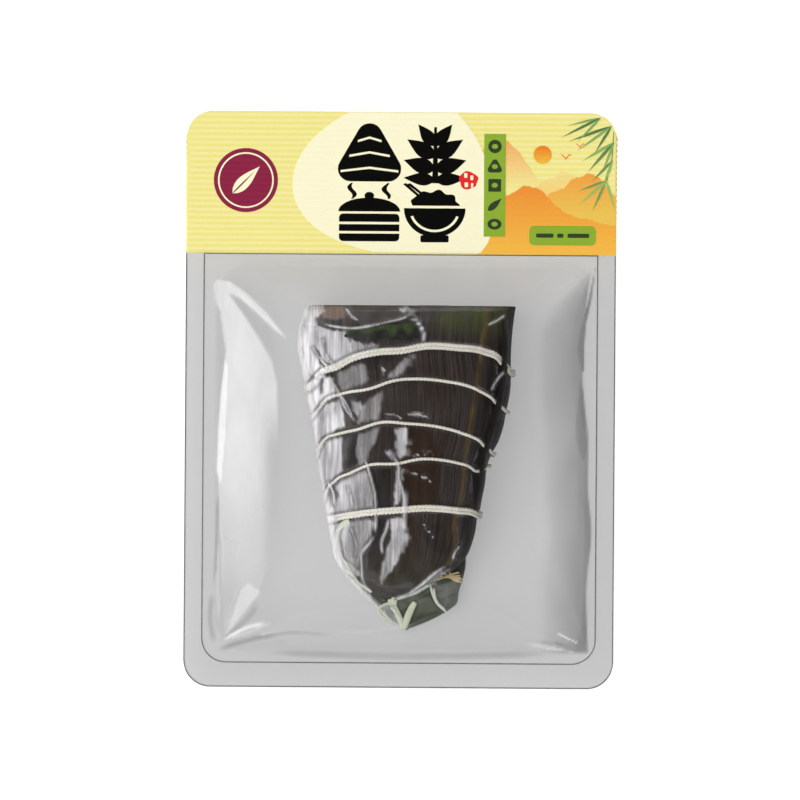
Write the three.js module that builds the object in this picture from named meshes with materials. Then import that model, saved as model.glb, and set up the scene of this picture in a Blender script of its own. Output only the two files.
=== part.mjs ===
// A sealed display pouch around one leaf-wrapped rice dumpling, lying on its back.
// The body is the outer form of the whole bag: a thin welded border with rounded corners,
// a deep flat header along one end, and a pillow that rises over the dumpling and sags to
// the table beneath it. The film is closed all round, so the bag is one solid.
// Millimetres. +X is to the right seen from the printed side, +Y towards the header, +Z up.
import * as THREE from 'three';

const bag_width = 134;
const bag_length = 179.5;
const bag_corner = 8.3;
const edge_thickness = 0.6;
const seam_height = 9;

// Widths of the flat border on each side of the pocket that holds the dumpling.
const side_weld = 5.7;
const foot_weld = 7.75;
const header_depth = 44.25;
const pocket_corner = 7.5;
const corner_growth = 0.5;

// The film stays flat for a few millimetres inside the weld, then lifts at a crease.
const crease_inset = 4;
const front_rise = 31.7;
const front_span = 34;
const front_fullness = 1.7;
const back_span = 16;
const back_fullness = 1.8;

// Insets of the rings that carry the two faces, measured inwards from the pocket's edge.
const front_insets = [0, 2, 4, 5, 6.5, 8, 10, 12, 14.5, 17, 20, 23, 26.5, 30, 34, 38, 44, 50, 56, 60];
const back_insets = [0, 2, 4, 5, 6.5, 8, 10, 12, 14, 17, 20, 30, 42, 54, 60];
const side_steps = 14;
const arc_steps = 8;

const colour_film = 0xc9c9c9;

// Centre, half sizes and corner radius of a rounded rectangle.
function bag_outline() {
  return { y: 0, half_x: bag_width / 2, half_y: bag_length / 2, radius: bag_corner };
}

// The pocket's edge moved inwards by an inset, with corners that grow rounder as it shrinks.
function pocket_outline(inset) {
  const low = -bag_length / 2 + foot_weld;
  const high = bag_length / 2 - header_depth;
  const half_x = bag_width / 2 - side_weld - inset;
  const half_y = (high - low) / 2 - inset;
  const wanted = pocket_corner + corner_growth * inset;
  const radius = Math.min(wanted, 0.98 * Math.min(half_x, half_y));
  return { y: (high + low) / 2, half_x, half_y, radius };
}

// Points anticlockwise round a rounded rectangle, the same number on every outline.
function outline_points(outline) {
  const points = [];
  const signs = [[1, 1], [-1, 1], [-1, -1], [1, -1]];
  const straight_x = outline.half_x - outline.radius;
  const straight_y = outline.half_y - outline.radius;
  for (let corner = 0; corner < 4; corner += 1) {
    const [sign_x, sign_y] = signs[corner];
    const start_angle = corner * Math.PI / 2;
    for (let step = 0; step <= arc_steps; step += 1) {
      const angle = start_angle + step / arc_steps * Math.PI / 2;
      const x = sign_x * straight_x + outline.radius * Math.cos(angle);
      const y = outline.y + sign_y * straight_y + outline.radius * Math.sin(angle);
      points.push([x, y]);
    }
    const [next_x, next_y] = signs[(corner + 1) % 4];
    const end = points[points.length - 1];
    const goal_angle = start_angle + Math.PI / 2;
    const goal_x = next_x * straight_x + outline.radius * Math.cos(goal_angle);
    const goal_y = outline.y + next_y * straight_y + outline.radius * Math.sin(goal_angle);
    for (let step = 1; step < side_steps; step += 1) {
      const part = step / side_steps;
      points.push([end[0] + (goal_x - end[0]) * part, end[1] + (goal_y - end[1]) * part]);
    }
  }
  return points;
}

// Share of the full height reached at an inset: none up to the crease, all past the span.
function fullness_at(inset, span, power) {
  const part = Math.min(Math.max((inset - crease_inset) / span, 0), 1);
  return 1 - Math.pow(1 - part, power);
}

function front_height(inset) {
  const base = seam_height + edge_thickness / 2;
  return base + front_rise * fullness_at(inset, front_span, front_fullness);
}

function back_height(inset) {
  const base = seam_height - edge_thickness / 2;
  return base * (1 - fullness_at(inset, back_span, back_fullness));
}

// Every ring in order from the middle of the front, over the edge, to the middle of the back.
function bag_rings() {
  const rings = [];
  for (const inset of [...front_insets].reverse()) {
    rings.push({ points: outline_points(pocket_outline(inset)), z: front_height(inset) });
  }
  const rim = outline_points(bag_outline());
  rings.push({ points: rim, z: seam_height + edge_thickness / 2 });
  rings.push({ points: rim, z: seam_height - edge_thickness / 2 });
  for (const inset of back_insets) {
    rings.push({ points: outline_points(pocket_outline(inset)), z: back_height(inset) });
  }
  return rings;
}

function bag_geometry() {
  const rings = bag_rings();
  const count = rings[0].points.length;
  const positions = [];
  const faces = [];
  for (const ring of rings) {
    for (const [x, y] of ring.points) {
      positions.push(x, y, ring.z);
    }
  }
  for (let row = 0; row + 1 < rings.length; row += 1) {
    for (let step = 0; step < count; step += 1) {
      const next = (step + 1) % count;
      const inner = row * count + step;
      const inner_next = row * count + next;
      const outer = (row + 1) * count + step;
      const outer_next = (row + 1) * count + next;
      faces.push(inner, outer, outer_next);
      faces.push(inner, outer_next, inner_next);
    }
  }
  const middle_y = pocket_outline(0).y;
  const front_middle = positions.length / 3;
  positions.push(0, middle_y, rings[0].z);
  const back_middle = front_middle + 1;
  positions.push(0, middle_y, rings[rings.length - 1].z);
  const last = (rings.length - 1) * count;
  for (let step = 0; step < count; step += 1) {
    const next = (step + 1) % count;
    faces.push(front_middle, step, next);
    faces.push(back_middle, last + next, last + step);
  }
  const geometry = new THREE.BufferGeometry();
  geometry.setAttribute('position', new THREE.Float32BufferAttribute(positions, 3));
  geometry.setIndex(faces);
  geometry.computeVertexNormals();
  return geometry;
}

function build_pouch() {
  const material = new THREE.MeshStandardMaterial({ color: colour_film, roughness: 0.2 });
  const mesh = new THREE.Mesh(bag_geometry(), material);
  mesh.name = 'sealed_pouch';
  return mesh;
}

const part = new THREE.Group();
part.name = 'rice_dumpling_pouch';
part.add(build_pouch());

export default part;
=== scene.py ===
import math

import bmesh
import bpy
import numpy as np
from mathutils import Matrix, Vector


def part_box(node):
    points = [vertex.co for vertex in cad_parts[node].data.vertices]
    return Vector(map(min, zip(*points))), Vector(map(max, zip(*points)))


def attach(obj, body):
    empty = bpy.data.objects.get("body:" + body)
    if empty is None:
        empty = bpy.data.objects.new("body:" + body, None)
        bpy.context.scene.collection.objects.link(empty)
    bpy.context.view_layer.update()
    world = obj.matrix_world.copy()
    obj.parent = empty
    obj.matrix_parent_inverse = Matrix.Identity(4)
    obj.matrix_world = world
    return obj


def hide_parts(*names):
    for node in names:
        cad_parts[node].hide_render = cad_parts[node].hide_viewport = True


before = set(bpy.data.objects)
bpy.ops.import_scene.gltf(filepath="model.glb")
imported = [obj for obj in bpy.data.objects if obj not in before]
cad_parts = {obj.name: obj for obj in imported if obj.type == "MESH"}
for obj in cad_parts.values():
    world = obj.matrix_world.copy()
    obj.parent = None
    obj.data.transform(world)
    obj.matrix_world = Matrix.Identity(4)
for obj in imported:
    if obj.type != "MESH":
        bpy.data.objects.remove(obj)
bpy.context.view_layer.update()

# Sizes are in millimetres, and MM turns them into metres as a mesh or light is made.
MM = 0.001
LOW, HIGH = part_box("sealed_pouch")
HALF_WIDTH = (HIGH.x - LOW.x) / 2 / MM
HALF_LENGTH = (HIGH.y - LOW.y) / 2 / MM
TOP_HEIGHT = HIGH.z / MM

# The bag's welds, as the CAD part has them.
SEAM_HEIGHT = 9.0
SEAM_THICKNESS = 0.6
SEAM_TOP = SEAM_HEIGHT + SEAM_THICKNESS / 2
SEAM_FOOT = SEAM_HEIGHT - SEAM_THICKNESS / 2
BAG_CORNER = 8.3
SIDE_WELD = 5.7
FOOT_WELD = 7.75
HEADER_DEPTH = 44.25
POCKET_CORNER = 7.5
CORNER_GROWTH = 0.5
FRONT_SPAN = 34.0
FRONT_FULLNESS = 1.7
BACK_SPAN = 16.0
BACK_FULLNESS = 1.8
BACK_CREASE = 4.0
HEADER_FOOT = HALF_LENGTH - HEADER_DEPTH
POCKET_FOOT = FOOT_WELD - HALF_LENGTH
POCKET_Y = (HEADER_FOOT + POCKET_FOOT) / 2
POCKET_HALF_X = HALF_WIDTH - SIDE_WELD
POCKET_HALF_Y = (HEADER_FOOT - POCKET_FOOT) / 2
FRONT_RISE = TOP_HEIGHT - SEAM_TOP

RIB_PITCH = 1.74
RIB_HEIGHT = 0.05
INK_THICKNESS = 0.02
LAYER_STEP = 0.028
EDGE_IN = 0.15
PRINT_TOP = HALF_LENGTH - EDGE_IN
PRINT_RIGHT = HALF_WIDTH - EDGE_IN


# ---------------------------------------------------------------- numbers and paths

def smooth_step(x, start, end):
    part = np.clip((x - start) / (end - start), 0, 1)
    return part * part * (3 - 2 * part)


def lattice_noise(x, y, size, seed):
    """Smooth noise from -1 to 1, with features about size millimetres across."""
    cells = 256
    table = np.random.default_rng(seed).uniform(-1, 1, (cells, cells))
    u, v = np.asarray(x) / size + cells, np.asarray(y) / size + cells
    i, j = np.floor(u).astype(int), np.floor(v).astype(int)
    fu, fv = u - i, v - j
    fu, fv = fu * fu * (3 - 2 * fu), fv * fv * (3 - 2 * fv)
    near = table[i % cells, j % cells] * (1 - fu) + table[(i + 1) % cells, j % cells] * fu
    far = table[i % cells, (j + 1) % cells] * (1 - fu) + table[(i + 1) % cells, (j + 1) % cells] * fu
    return near * (1 - fv) + far * fv


def cubic_table(stations, x):
    """A smooth curve through (place, value) stations, read at x."""
    places, values = (np.array(column, float) for column in zip(*sorted(stations)))
    slopes = np.gradient(values, places)
    x = np.clip(x, places[0], places[-1])
    i = np.clip(np.searchsorted(places, x) - 1, 0, len(places) - 2)
    width = places[i + 1] - places[i]
    t = (x - places[i]) / width
    return (values[i] * (1 + 2 * t) * (1 - t) ** 2 + slopes[i] * width * t * (1 - t) ** 2
            + values[i + 1] * t * t * (3 - 2 * t) + slopes[i + 1] * width * t * t * (t - 1))


def smooth_path(points, step):
    """Points about step apart on a smooth curve through the given points."""
    points = np.array(points, float)
    gaps = np.maximum(np.linalg.norm(np.diff(points, axis=0), axis=1), 1e-6)
    along = np.concatenate([[0], np.cumsum(gaps)])
    count = max(int(along[-1] / step), 2) + 1
    wanted = np.linspace(0, along[-1], count)
    columns = [cubic_table(list(zip(along, points[:, k])), wanted) for k in range(points.shape[1])]
    return np.stack(columns, axis=1)


def distance_to_path(x, y, path):
    """Distance of each point from a polyline, and how far along it the nearest place is, 0 to 1."""
    best = np.full(np.shape(x), 1e9)
    where = np.zeros(np.shape(x))
    path = np.array(path, float)
    total = len(path) - 1
    for k in range(total):
        ax, ay = path[k][:2]
        dx, dy = path[k + 1][0] - ax, path[k + 1][1] - ay
        t = np.clip(((x - ax) * dx + (y - ay) * dy) / (dx * dx + dy * dy + 1e-9), 0, 1)
        gap = np.hypot(x - ax - t * dx, y - ay - t * dy)
        nearer = gap < best
        best = np.where(nearer, gap, best)
        where = np.where(nearer, (k + t) / total, where)
    return best, where


def ridge(x, y, points, width, taper=0.2):
    """A rounded ridge of height 1 along a path, fading out over its ends."""
    gap, along = distance_to_path(x, y, smooth_path(points, max(width, 1.0)))
    ends = smooth_step(along, 0, taper) * smooth_step(1 - along, 0, taper) if taper else 1
    return np.exp(-(gap / width) ** 2) * ends


def inside_outline(x, y, outline, soft):
    """1 well inside a closed outline, 0 outside it, with an edge soft millimetres wide."""
    corners = np.array(outline, dtype=float)
    gap, _ = distance_to_path(x, y, np.concatenate([corners, corners[:1]]))
    within = np.zeros(np.shape(x), dtype=bool)
    for (ax, ay), (bx, by) in zip(corners, np.roll(corners, -1, axis=0)):
        crosses = (ay > y) != (by > y)
        at = ax + (y - ay) / (by - ay if by != ay else 1e-9) * (bx - ax)
        within ^= crosses & (x < at)
    return smooth_step(np.where(within, gap, -gap), -soft / 2, soft / 2)


# ---------------------------------------------------------------- meshes

def link_piece(name, mesh):
    """Puts a mesh in the scene, riding on the one body."""
    piece = bpy.data.objects.new(name, mesh)
    bpy.context.scene.collection.objects.link(piece)
    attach(piece, "root")
    return piece


def add_piece(name, verts, faces, material, second=None):
    """Makes a smooth mesh piece from millimetre points, with one or two materials."""
    mesh = bpy.data.meshes.new(name)
    mesh.from_pydata((np.asarray(verts, float) * MM).tolist(), [], [tuple(map(int, f)) for f in faces])
    mesh.update()
    mesh.materials.append(material)
    if second:
        mesh.materials.append(second)
    mesh.polygons.foreach_set("use_smooth", [True] * len(mesh.polygons))
    return link_piece(name, mesh)


def set_values(piece, name, values):
    layer = piece.data.attributes.new(name, "FLOAT", "POINT")
    layer.data.foreach_set("value", np.asarray(values, np.float32).ravel())


def set_vectors(piece, name, values):
    layer = piece.data.attributes.new(name, "FLOAT_VECTOR", "POINT")
    layer.data.foreach_set("vector", np.asarray(values, np.float32).ravel())


def grid_faces(rows, columns, start=0, wrap=False, flip=False):
    """Quads over a grid of points. With wrap, the last column joins the first."""
    faces = []
    last = columns if wrap else columns - 1
    for r in range(rows - 1):
        for c in range(last):
            d = (c + 1) % columns
            quad = [start + r * columns + c, start + r * columns + d,
                    start + (r + 1) * columns + d, start + (r + 1) * columns + c]
            faces.append(quad[::-1] if flip else quad)
    return faces


def grid_normals(points):
    normals = np.cross(np.gradient(points, axis=1), np.gradient(points, axis=0))
    return normals / np.maximum(np.linalg.norm(normals, axis=2, keepdims=True), 1e-9)


def rim_faces(rows, columns):
    """Quads that join two grids of one size, stored one after the other, along their outlines."""
    top = list(range(columns))
    right = [r * columns + columns - 1 for r in range(1, rows)]
    foot = [(rows - 1) * columns + c for c in range(columns - 2, -1, -1)]
    left = [r * columns for r in range(rows - 2, 0, -1)]
    rim = top + right + foot + left
    count = rows * columns
    return [[after, here, here + count, after + count] for here, after in zip(rim, rim[1:] + rim[:1])]


def slab(name, points, thickness, material):
    """A thin closed sheet: the grid of points is its outer face, and its inner face is thickness
    behind. Rows run so that across x down points outwards."""
    rows, columns = points.shape[:2]
    behind = points - grid_normals(points) * thickness
    verts = np.concatenate([points.reshape(-1, 3), behind.reshape(-1, 3)])
    outer = grid_faces(rows, columns)
    inner = grid_faces(rows, columns, start=rows * columns, flip=True)
    return add_piece(name, verts, outer + inner + rim_faces(rows, columns), material)


def ring_points(centre, side, up, radius, sides, squash=1.0):
    turns = [2 * math.pi * k / sides for k in range(sides)]
    return [centre + radius * (math.cos(turn) * side + squash * math.sin(turn) * up) for turn in turns]


def path_directions(steps):
    return steps / np.maximum(np.linalg.norm(steps, axis=1, keepdims=True), 1e-9)


def tube(path, radii, sides, squash=1.0):
    """Vertices and faces of a tube with closed ends, with one radius or one for each point."""
    path = np.array(path, float)
    radii = np.broadcast_to(radii, len(path))
    along = path_directions(np.gradient(path, axis=0))
    side = np.cross(along[0], [0.0, 0.0, 1.0])
    verts = []
    for k, point in enumerate(path):
        side = side - along[k] * np.dot(side, along[k])
        side /= np.linalg.norm(side)
        verts += ring_points(point, side, np.cross(side, along[k]), radii[k], sides, squash)
    first_end = list(range(sides))
    last_end = list(range((len(path) - 1) * sides, len(path) * sides))[::-1]
    return verts, grid_faces(len(path), sides, wrap=True, flip=True) + [first_end, last_end]


def ring_tube(path, radius, sides):
    """As tube, for a path that closes on itself."""
    along = path_directions(np.roll(path, -1, axis=0) - np.roll(path, 1, axis=0))
    lengthwise = np.array([0.0, 1.0, 0.0])
    verts = []
    for k, point in enumerate(path):
        side = lengthwise - along[k] * np.dot(lengthwise, along[k])
        side /= np.linalg.norm(side)
        verts += ring_points(point, side, np.cross(side, along[k]), radius, sides)
    faces = grid_faces(len(path) + 1, sides, wrap=True, flip=True)
    return verts, [[corner % len(verts) for corner in face] for face in faces]


def join(parts):
    """Joins several (verts, faces) into one."""
    verts, faces = [], []
    for part_verts, part_faces in parts:
        offset = len(verts)
        verts.extend(part_verts)
        faces.extend([[offset + i for i in face] for face in part_faces])
    return verts, faces


# ---------------------------------------------------------------- materials

class Shader:
    """A material's node tree, with short calls to add and link nodes."""

    def __init__(self, name, **sockets):
        self.material = bpy.data.materials.new(name)
        self.material.use_nodes = True
        self.tree = self.material.node_tree
        self.surface = self.tree.nodes["Principled BSDF"]
        for socket, value in sockets.items():
            self.surface.inputs[socket.replace("_", " ")].default_value = value

    def add(self, kind, inputs=None, **settings):
        node = self.tree.nodes.new("ShaderNode" + kind)
        for key, value in settings.items():
            setattr(node, key, value)
        for key, value in (inputs or {}).items():
            if isinstance(value, bpy.types.NodeSocket):
                self.tree.links.new(value, node.inputs[key])
            else:
                node.inputs[key].default_value = value
        return node.outputs[0]

    def value(self, name):
        """A float stored on the mesh's points."""
        node = self.tree.nodes.new("ShaderNodeAttribute")
        node.attribute_name = name
        return node.outputs["Fac"]

    def vector(self, name, scale):
        """A vector stored on the mesh's points, in millimetres, times a scale for each axis."""
        node = self.tree.nodes.new("ShaderNodeAttribute")
        node.attribute_name = name
        return self.add("VectorMath", {0: node.outputs["Vector"], 1: scale}, operation="MULTIPLY")

    def place(self, scale):
        """The object's own coordinates in millimetres, times a scale for each axis."""
        node = self.tree.nodes.new("ShaderNodeTexCoord")
        scale = [s / MM for s in scale]
        return self.add("VectorMath", {0: node.outputs["Object"], 1: scale}, operation="MULTIPLY")

    def noise(self, vector, detail=3.0, roughness=0.5, distortion=0.0):
        return self.add("TexNoise", {"Vector": vector, "Scale": 1.0, "Detail": detail,
                                     "Roughness": roughness, "Distortion": distortion})

    def ramp(self, factor, stops):
        """A colour or a grey for each place from 0 to 1."""
        node = self.tree.nodes.new("ShaderNodeValToRGB")
        elements = node.color_ramp.elements
        while len(elements) < len(stops):
            elements.new(0.5)
        for element, (place, colour) in zip(elements, stops):
            element.position = place
            element.color = (*colour, 1) if isinstance(colour, tuple) else (colour, colour, colour, 1)
        self.tree.links.new(factor, node.inputs[0])
        return node.outputs["Color"]

    def mix(self, factor, first, second, blend="MIX"):
        node = self.tree.nodes.new("ShaderNodeMix")
        node.data_type = "RGBA"
        node.blend_type = blend
        node.clamp_factor = True
        sockets = [s for s in node.inputs if s.enabled]
        for socket, value in zip(sockets, (factor, first, second)):
            if isinstance(value, bpy.types.NodeSocket):
                self.tree.links.new(value, socket)
            else:
                socket.default_value = (*value, 1) if isinstance(value, tuple) else value
        return [s for s in node.outputs if s.enabled][0]

    def math(self, operation, *values, clamp=False):
        return self.add("Math", dict(enumerate(values)), operation=operation, use_clamp=clamp)

    def bump(self, height, strength, distance):
        return self.add("Bump", {"Height": height, "Strength": strength, "Distance": distance * MM})

    def to(self, socket, output):
        self.tree.links.new(output, self.surface.inputs[socket])

    def set(self, socket, value):
        self.surface.inputs[socket].default_value = value


def leaf_material(name, dark, light, brown, gloss):
    """Boiled bamboo leaf: fine lengthwise veins, patchy tone, a satin face."""
    shader = Shader(name, Roughness=gloss)
    veins = shader.noise(shader.vector("strip", (2.2, 0.035, 0)), detail=5, roughness=0.7)
    cells = shader.noise(shader.vector("strip", (5.5, 0.05, 0)), detail=3)
    patches = shader.noise(shader.vector("strip", (0.12, 0.05, 0)), detail=3)
    tone = shader.ramp(veins, [(0.34, dark), (0.66, light)])
    browned = shader.ramp(patches, [(0.48, 0.0), (0.7, 0.6)])
    earthy = shader.math("ADD", shader.value("brown"), browned, clamp=True)
    fine = shader.ramp(cells, [(0.3, 0.55), (0.7, 1.3)])
    tone = shader.mix(1.0, shader.mix(earthy, tone, brown), fine, "MULTIPLY")
    for place, colour in (("olive", (0.062, 0.076, 0.016)), ("midrib", (0.135, 0.085, 0.024))):
        tone = shader.mix(shader.value(place), tone, shader.mix(1.0, fine, colour, "MULTIPLY"))
    # Painted shade: the leaf is darkened almost to black by the value stored on the mesh.
    tone = shader.mix(shader.value("painted_shade"), tone, (0.006, 0.005, 0.004))
    shader.to("Base Color", tone)
    shader.to("Roughness", shader.ramp(cells, [(0.3, gloss - 0.08), (0.7, gloss + 0.12)]))
    shader.set("Specular IOR Level", 0.12)
    height = shader.math("ADD", veins, shader.math("MULTIPLY", cells, 0.5))
    shader.to("Normal", shader.bump(height, 0.8, 0.3))
    return shader.material


def green_leaf_material(name, dark, light):
    """Paler leaf tips with clear parallel veins."""
    shader = Shader(name, Roughness=0.42)
    veins = shader.noise(shader.vector("strip", (2.2, 0.04, 0)), detail=3)
    cloud = shader.noise(shader.vector("strip", (0.25, 0.12, 0)), detail=3)
    tone = shader.ramp(veins, [(0.35, dark), (0.65, light)])
    tone = shader.mix(shader.ramp(cloud, [(0.35, 0.0), (0.8, 0.75)]), tone, tuple(1.5 * c for c in light))
    # Painted shade: darkened almost to black by the value stored on the mesh.
    tone = shader.mix(shader.value("painted_shade"), tone, (0.012, 0.012, 0.009))
    shader.set("Specular IOR Level", 0.2)
    shader.to("Base Color", tone)
    shader.to("Normal", shader.bump(veins, 0.5, 0.25))
    return shader.material


def cotton_material():
    """Bleached cotton string: fuzzy fibres along each ply, faintly stained by the leaf."""
    shader = Shader("cotton_string", Roughness=0.85)
    fibres = shader.noise(shader.place((2.5, 2.5, 2.5)), detail=4)
    stain = shader.noise(shader.place((0.09, 0.09, 0.09)), detail=2)
    tone = shader.ramp(fibres, [(0.3, (0.72, 0.69, 0.60)), (0.7, (0.97, 0.95, 0.88))])
    tone = shader.mix(shader.ramp(stain, [(0.45, 0.0), (0.75, 0.4)]), tone, (0.70, 0.68, 0.50))
    shader.to("Base Color", tone)
    shader.to("Normal", shader.bump(fibres, 0.5, 0.1))
    return shader.material


def thin_film(shader, haze_and_painted_light, gloss, least, most):
    """Sets a film's opacity: a mirror part that grows as it turns away, and a milky part from haze, which
    carries painted light and shade.
    """
    fresnel = shader.add("LayerWeight", {"Blend": 0.30})
    mirror = shader.math("MINIMUM", shader.math("MULTIPLY", fresnel, gloss), most)
    milk_and_painted_light = shader.math("ADD", haze_and_painted_light, least)
    alpha = shader.math("ADD", mirror, milk_and_painted_light, clamp=True)
    shader.to("Alpha", alpha)
    shader.to("Metallic", shader.math("DIVIDE", mirror, shader.math("MAXIMUM", alpha, 0.001), clamp=True))


def vacuum_film_material():
    """The tight inner film: clear over the leaf, with patches and lines of painted glare in white."""
    shader = Shader("vacuum_film", Roughness=0.14)
    shader.set("Base Color", (0.97, 0.95, 0.98, 1))
    # Painted glare: white patches, a rim and ridge lines stored on the mesh.
    haze_and_painted_light, sheen = shader.value("haze_and_painted_light"), shader.value("sheen")
    streaks = shader.noise(shader.vector("strip", (1.5, 0.07, 0)), detail=6, roughness=0.66, distortion=0.4)
    sheets = shader.noise(shader.vector("strip", (0.35, 0.10, 0)), detail=3, roughness=0.5, distortion=0.8)
    streaked = shader.math("MULTIPLY", shader.ramp(streaks, [(0.34, 0.64), (0.62, 1.12)]),
                           shader.ramp(sheets, [(0.36, 0.78), (0.52, 1.04)]))
    gloss, most = (shader.math("MULTIPLY", sheen, share) for share in (0.7, 0.07))
    thin_film(shader, shader.math("MULTIPLY", haze_and_painted_light, streaked), gloss, 0.001, most)
    tiny = shader.noise(shader.vector("strip", (0.9, 0.45, 0)), detail=3, distortion=0.6)
    shader.to("Normal", shader.bump(tiny, 0.4, 0.3))
    return shader.material


def outer_film_material():
    """The outer bag's front: clear where it lies flat, with painted shade and painted highlight where it is
    stretched over its sides.
    """
    shader = Shader("clear_film_front", Roughness=0.20)
    shade, painted_highlight = shader.value("shade"), shader.value("painted_highlight")
    cloud = shader.noise(shader.place((0.10, 0.035, 0.05)), detail=3, distortion=0.6)
    # Base colour: near black for the painted shade down the right, near white for the painted highlight down
    # the left.
    shade_darkening = shader.math("MULTIPLY", shade, 8.0, clamp=True)
    shader.to("Base Color", shader.mix(shade_darkening, (0.93, 0.93, 0.94), (0.06, 0.06, 0.065)))
    uneven = shader.ramp(cloud, [(0.3, 0.86), (0.7, 1.08)])
    milk_and_painted_light = shader.math("MULTIPLY", shader.math("MAXIMUM", shade, painted_highlight), uneven)
    thin_film(shader, milk_and_painted_light, 0.4, 0.002, 0.25)
    waves = shader.noise(shader.place((0.06, 0.06, 0.06)), detail=3, distortion=0.5)
    shader.to("Normal", shader.bump(waves, 0.3, 0.8))
    return shader.material


def back_film_material():
    """The bag's back and its weld: a light grey translucent film."""
    shader = Shader("clear_film_back", Roughness=0.3)
    shader.set("Alpha", 0.6)
    cloud = shader.noise(shader.place((0.03, 0.03, 0.03)), detail=3)
    greys = [(0.3, (0.275, 0.275, 0.278)), (0.7, (0.295, 0.295, 0.298))]
    shader.to("Base Color", shader.ramp(cloud, greys))
    waves = shader.noise(shader.place((0.05, 0.05, 0.05)), detail=2)
    shader.to("Normal", shader.bump(waves, 0.15, 0.5))
    return shader.material


def weld_line_material():
    shader = Shader("weld_line", Roughness=0.3)
    speckle = shader.noise(shader.place((0.7, 0.7, 0.7)), detail=2)
    shader.to("Base Color", shader.ramp(speckle, [(0.3, 0.13), (0.7, 0.19)]))
    return shader.material


def print_material(name, colour, second=None, spread=(0.0, 1.0), rib_highlight_colour=None):
    """Ink on the header, with the slight unevenness of flexographic print. A second colour fades in up the
    header, from spread[0] to spread[1] millimetres; stripes is the colour of the painted highlight on the rib
    tops."""
    shader = Shader(name, Roughness=0.38)
    shader.set("Specular IOR Level", 0.25)
    grain = shader.noise(shader.place((1.6, 1.6, 1.6)))
    base = colour
    if second:
        upward = {0: shader.place((1, 1, 1)), 1: (0, 1, 0)}
        height = shader.add("VectorMath", upward, operation="DOT_PRODUCT").node.outputs["Value"]
        limits = {"Value": height, "From Min": spread[0], "From Max": spread[1]}
        base = shader.mix(shader.add("MapRange", limits), colour, second)
    if rib_highlight_colour:
        # Painted highlight: the paler colour along the rib tops.
        base = shader.mix(shader.value("rib_highlight"), base, rib_highlight_colour)
    tone = shader.mix(1.0, base, shader.ramp(grain, [(0.3, 0.98), (0.7, 1.02)]), "MULTIPLY")
    shader.to("Base Color", tone)
    return shader.material


# ---------------------------------------------------------------- the outer bag

def pocket_inset(x, y):
    """How far a point lies inside the pocket's edge, with corners that grow rounder inwards."""
    beside = POCKET_HALF_X - np.abs(x)
    above = POCKET_HALF_Y - np.abs(y - POCKET_Y)
    a, b = beside - POCKET_CORNER, above - POCKET_CORNER
    k = 1 + CORNER_GROWTH
    p = k * (a + b) + POCKET_CORNER * CORNER_GROWTH
    q = 2 * k * k - CORNER_GROWTH ** 2
    c = a * a + b * b - POCKET_CORNER ** 2
    inside = p * p - q * c
    round_inset = (p + np.sqrt(np.maximum(inside, 0))) / q
    in_corner = (inside >= 0) & (k * round_inset > a) & (k * round_inset > b)
    straight = np.minimum(beside, above)
    return np.where(in_corner, np.minimum(round_inset, straight), straight)


RIGHT_CREASE = [(45, 0.6), (36, 2.6), (23, 3.9), (3, 4.2), (-11, 2.5), (-28, 2.4), (-40, 1.3), (-58, 2.7),
                (-80, 2.0)]
LEFT_CREASE = [(45, 4.5), (30, 5.4), (9, 4.6), (-28, 4.6), (-50, 6.6), (-65, 6.0), (-80, 5.0)]


def crease_inset(x, y):
    """How far inside the weld the front film lifts, which differs from side to side."""
    left = cubic_table(LEFT_CREASE, y)
    right = cubic_table(RIGHT_CREASE, y)
    foot = 2.3 + 0.5 * lattice_noise(x, y * 0, 14, 5)
    values = [left, right, foot, 2.0]
    gaps = [POCKET_HALF_X + x, POCKET_HALF_X - x, y - POCKET_FOOT, HEADER_FOOT - y]
    weights = [np.exp(-gap / 5) for gap in gaps]
    return sum(w * v for w, v in zip(weights, values)) / (sum(weights) + 1e-12)


def fullness(inset, crease, span, power):
    part = np.clip((inset - crease) / span, 0, 1)
    return 1 - (1 - part) ** power


# Folds of the front film: the path, the height and the half width of each.
FILM_FOLDS = [
    ([(-56, -76), (-53, -66), (-49, -57)], 1.0, 1.6),
    ([(-56, -76), (-49, -66), (-42.5, -59)], 0.9, 1.3),
    ([(-56, -77), (-46, -71), (-37.5, -69)], 0.9, 1.2),
    ([(-56, -78), (-44, -75.5), (-32, -73.5)], 0.7, 1.2),
    ([(59, -78.5), (54, -74), (47, -70.5)], 0.9, 1.4),
    ([(59, -79), (45, -76.5), (29.5, -75)], 0.7, 1.3),
    ([(59.5, 43), (55, 38), (50, 34)], 0.6, 1.4),
    ([(59.5, 43), (53, 41), (46, 39)], 0.5, 1.2),
    ([(-59, 37), (-56.5, 38.2), (-52, 35), (-45, 28.5), (-39, 23), (-35, 19.5)], 1.1, 1.7),
    ([(-57, 34), (-52, 30), (-47, 24), (-42.5, 15), (-38, 4)], -0.7, 2.6),
    ([(-57, 9), (-57.2, -10), (-57, -29)], 0.5, 1.0),
    ([(57, 22), (56.6, 4), (58, -11)], 0.5, 1.2),
    ([(57.5, -30), (58.6, -42), (57.4, -60)], 0.6, 1.2),
]


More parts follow.
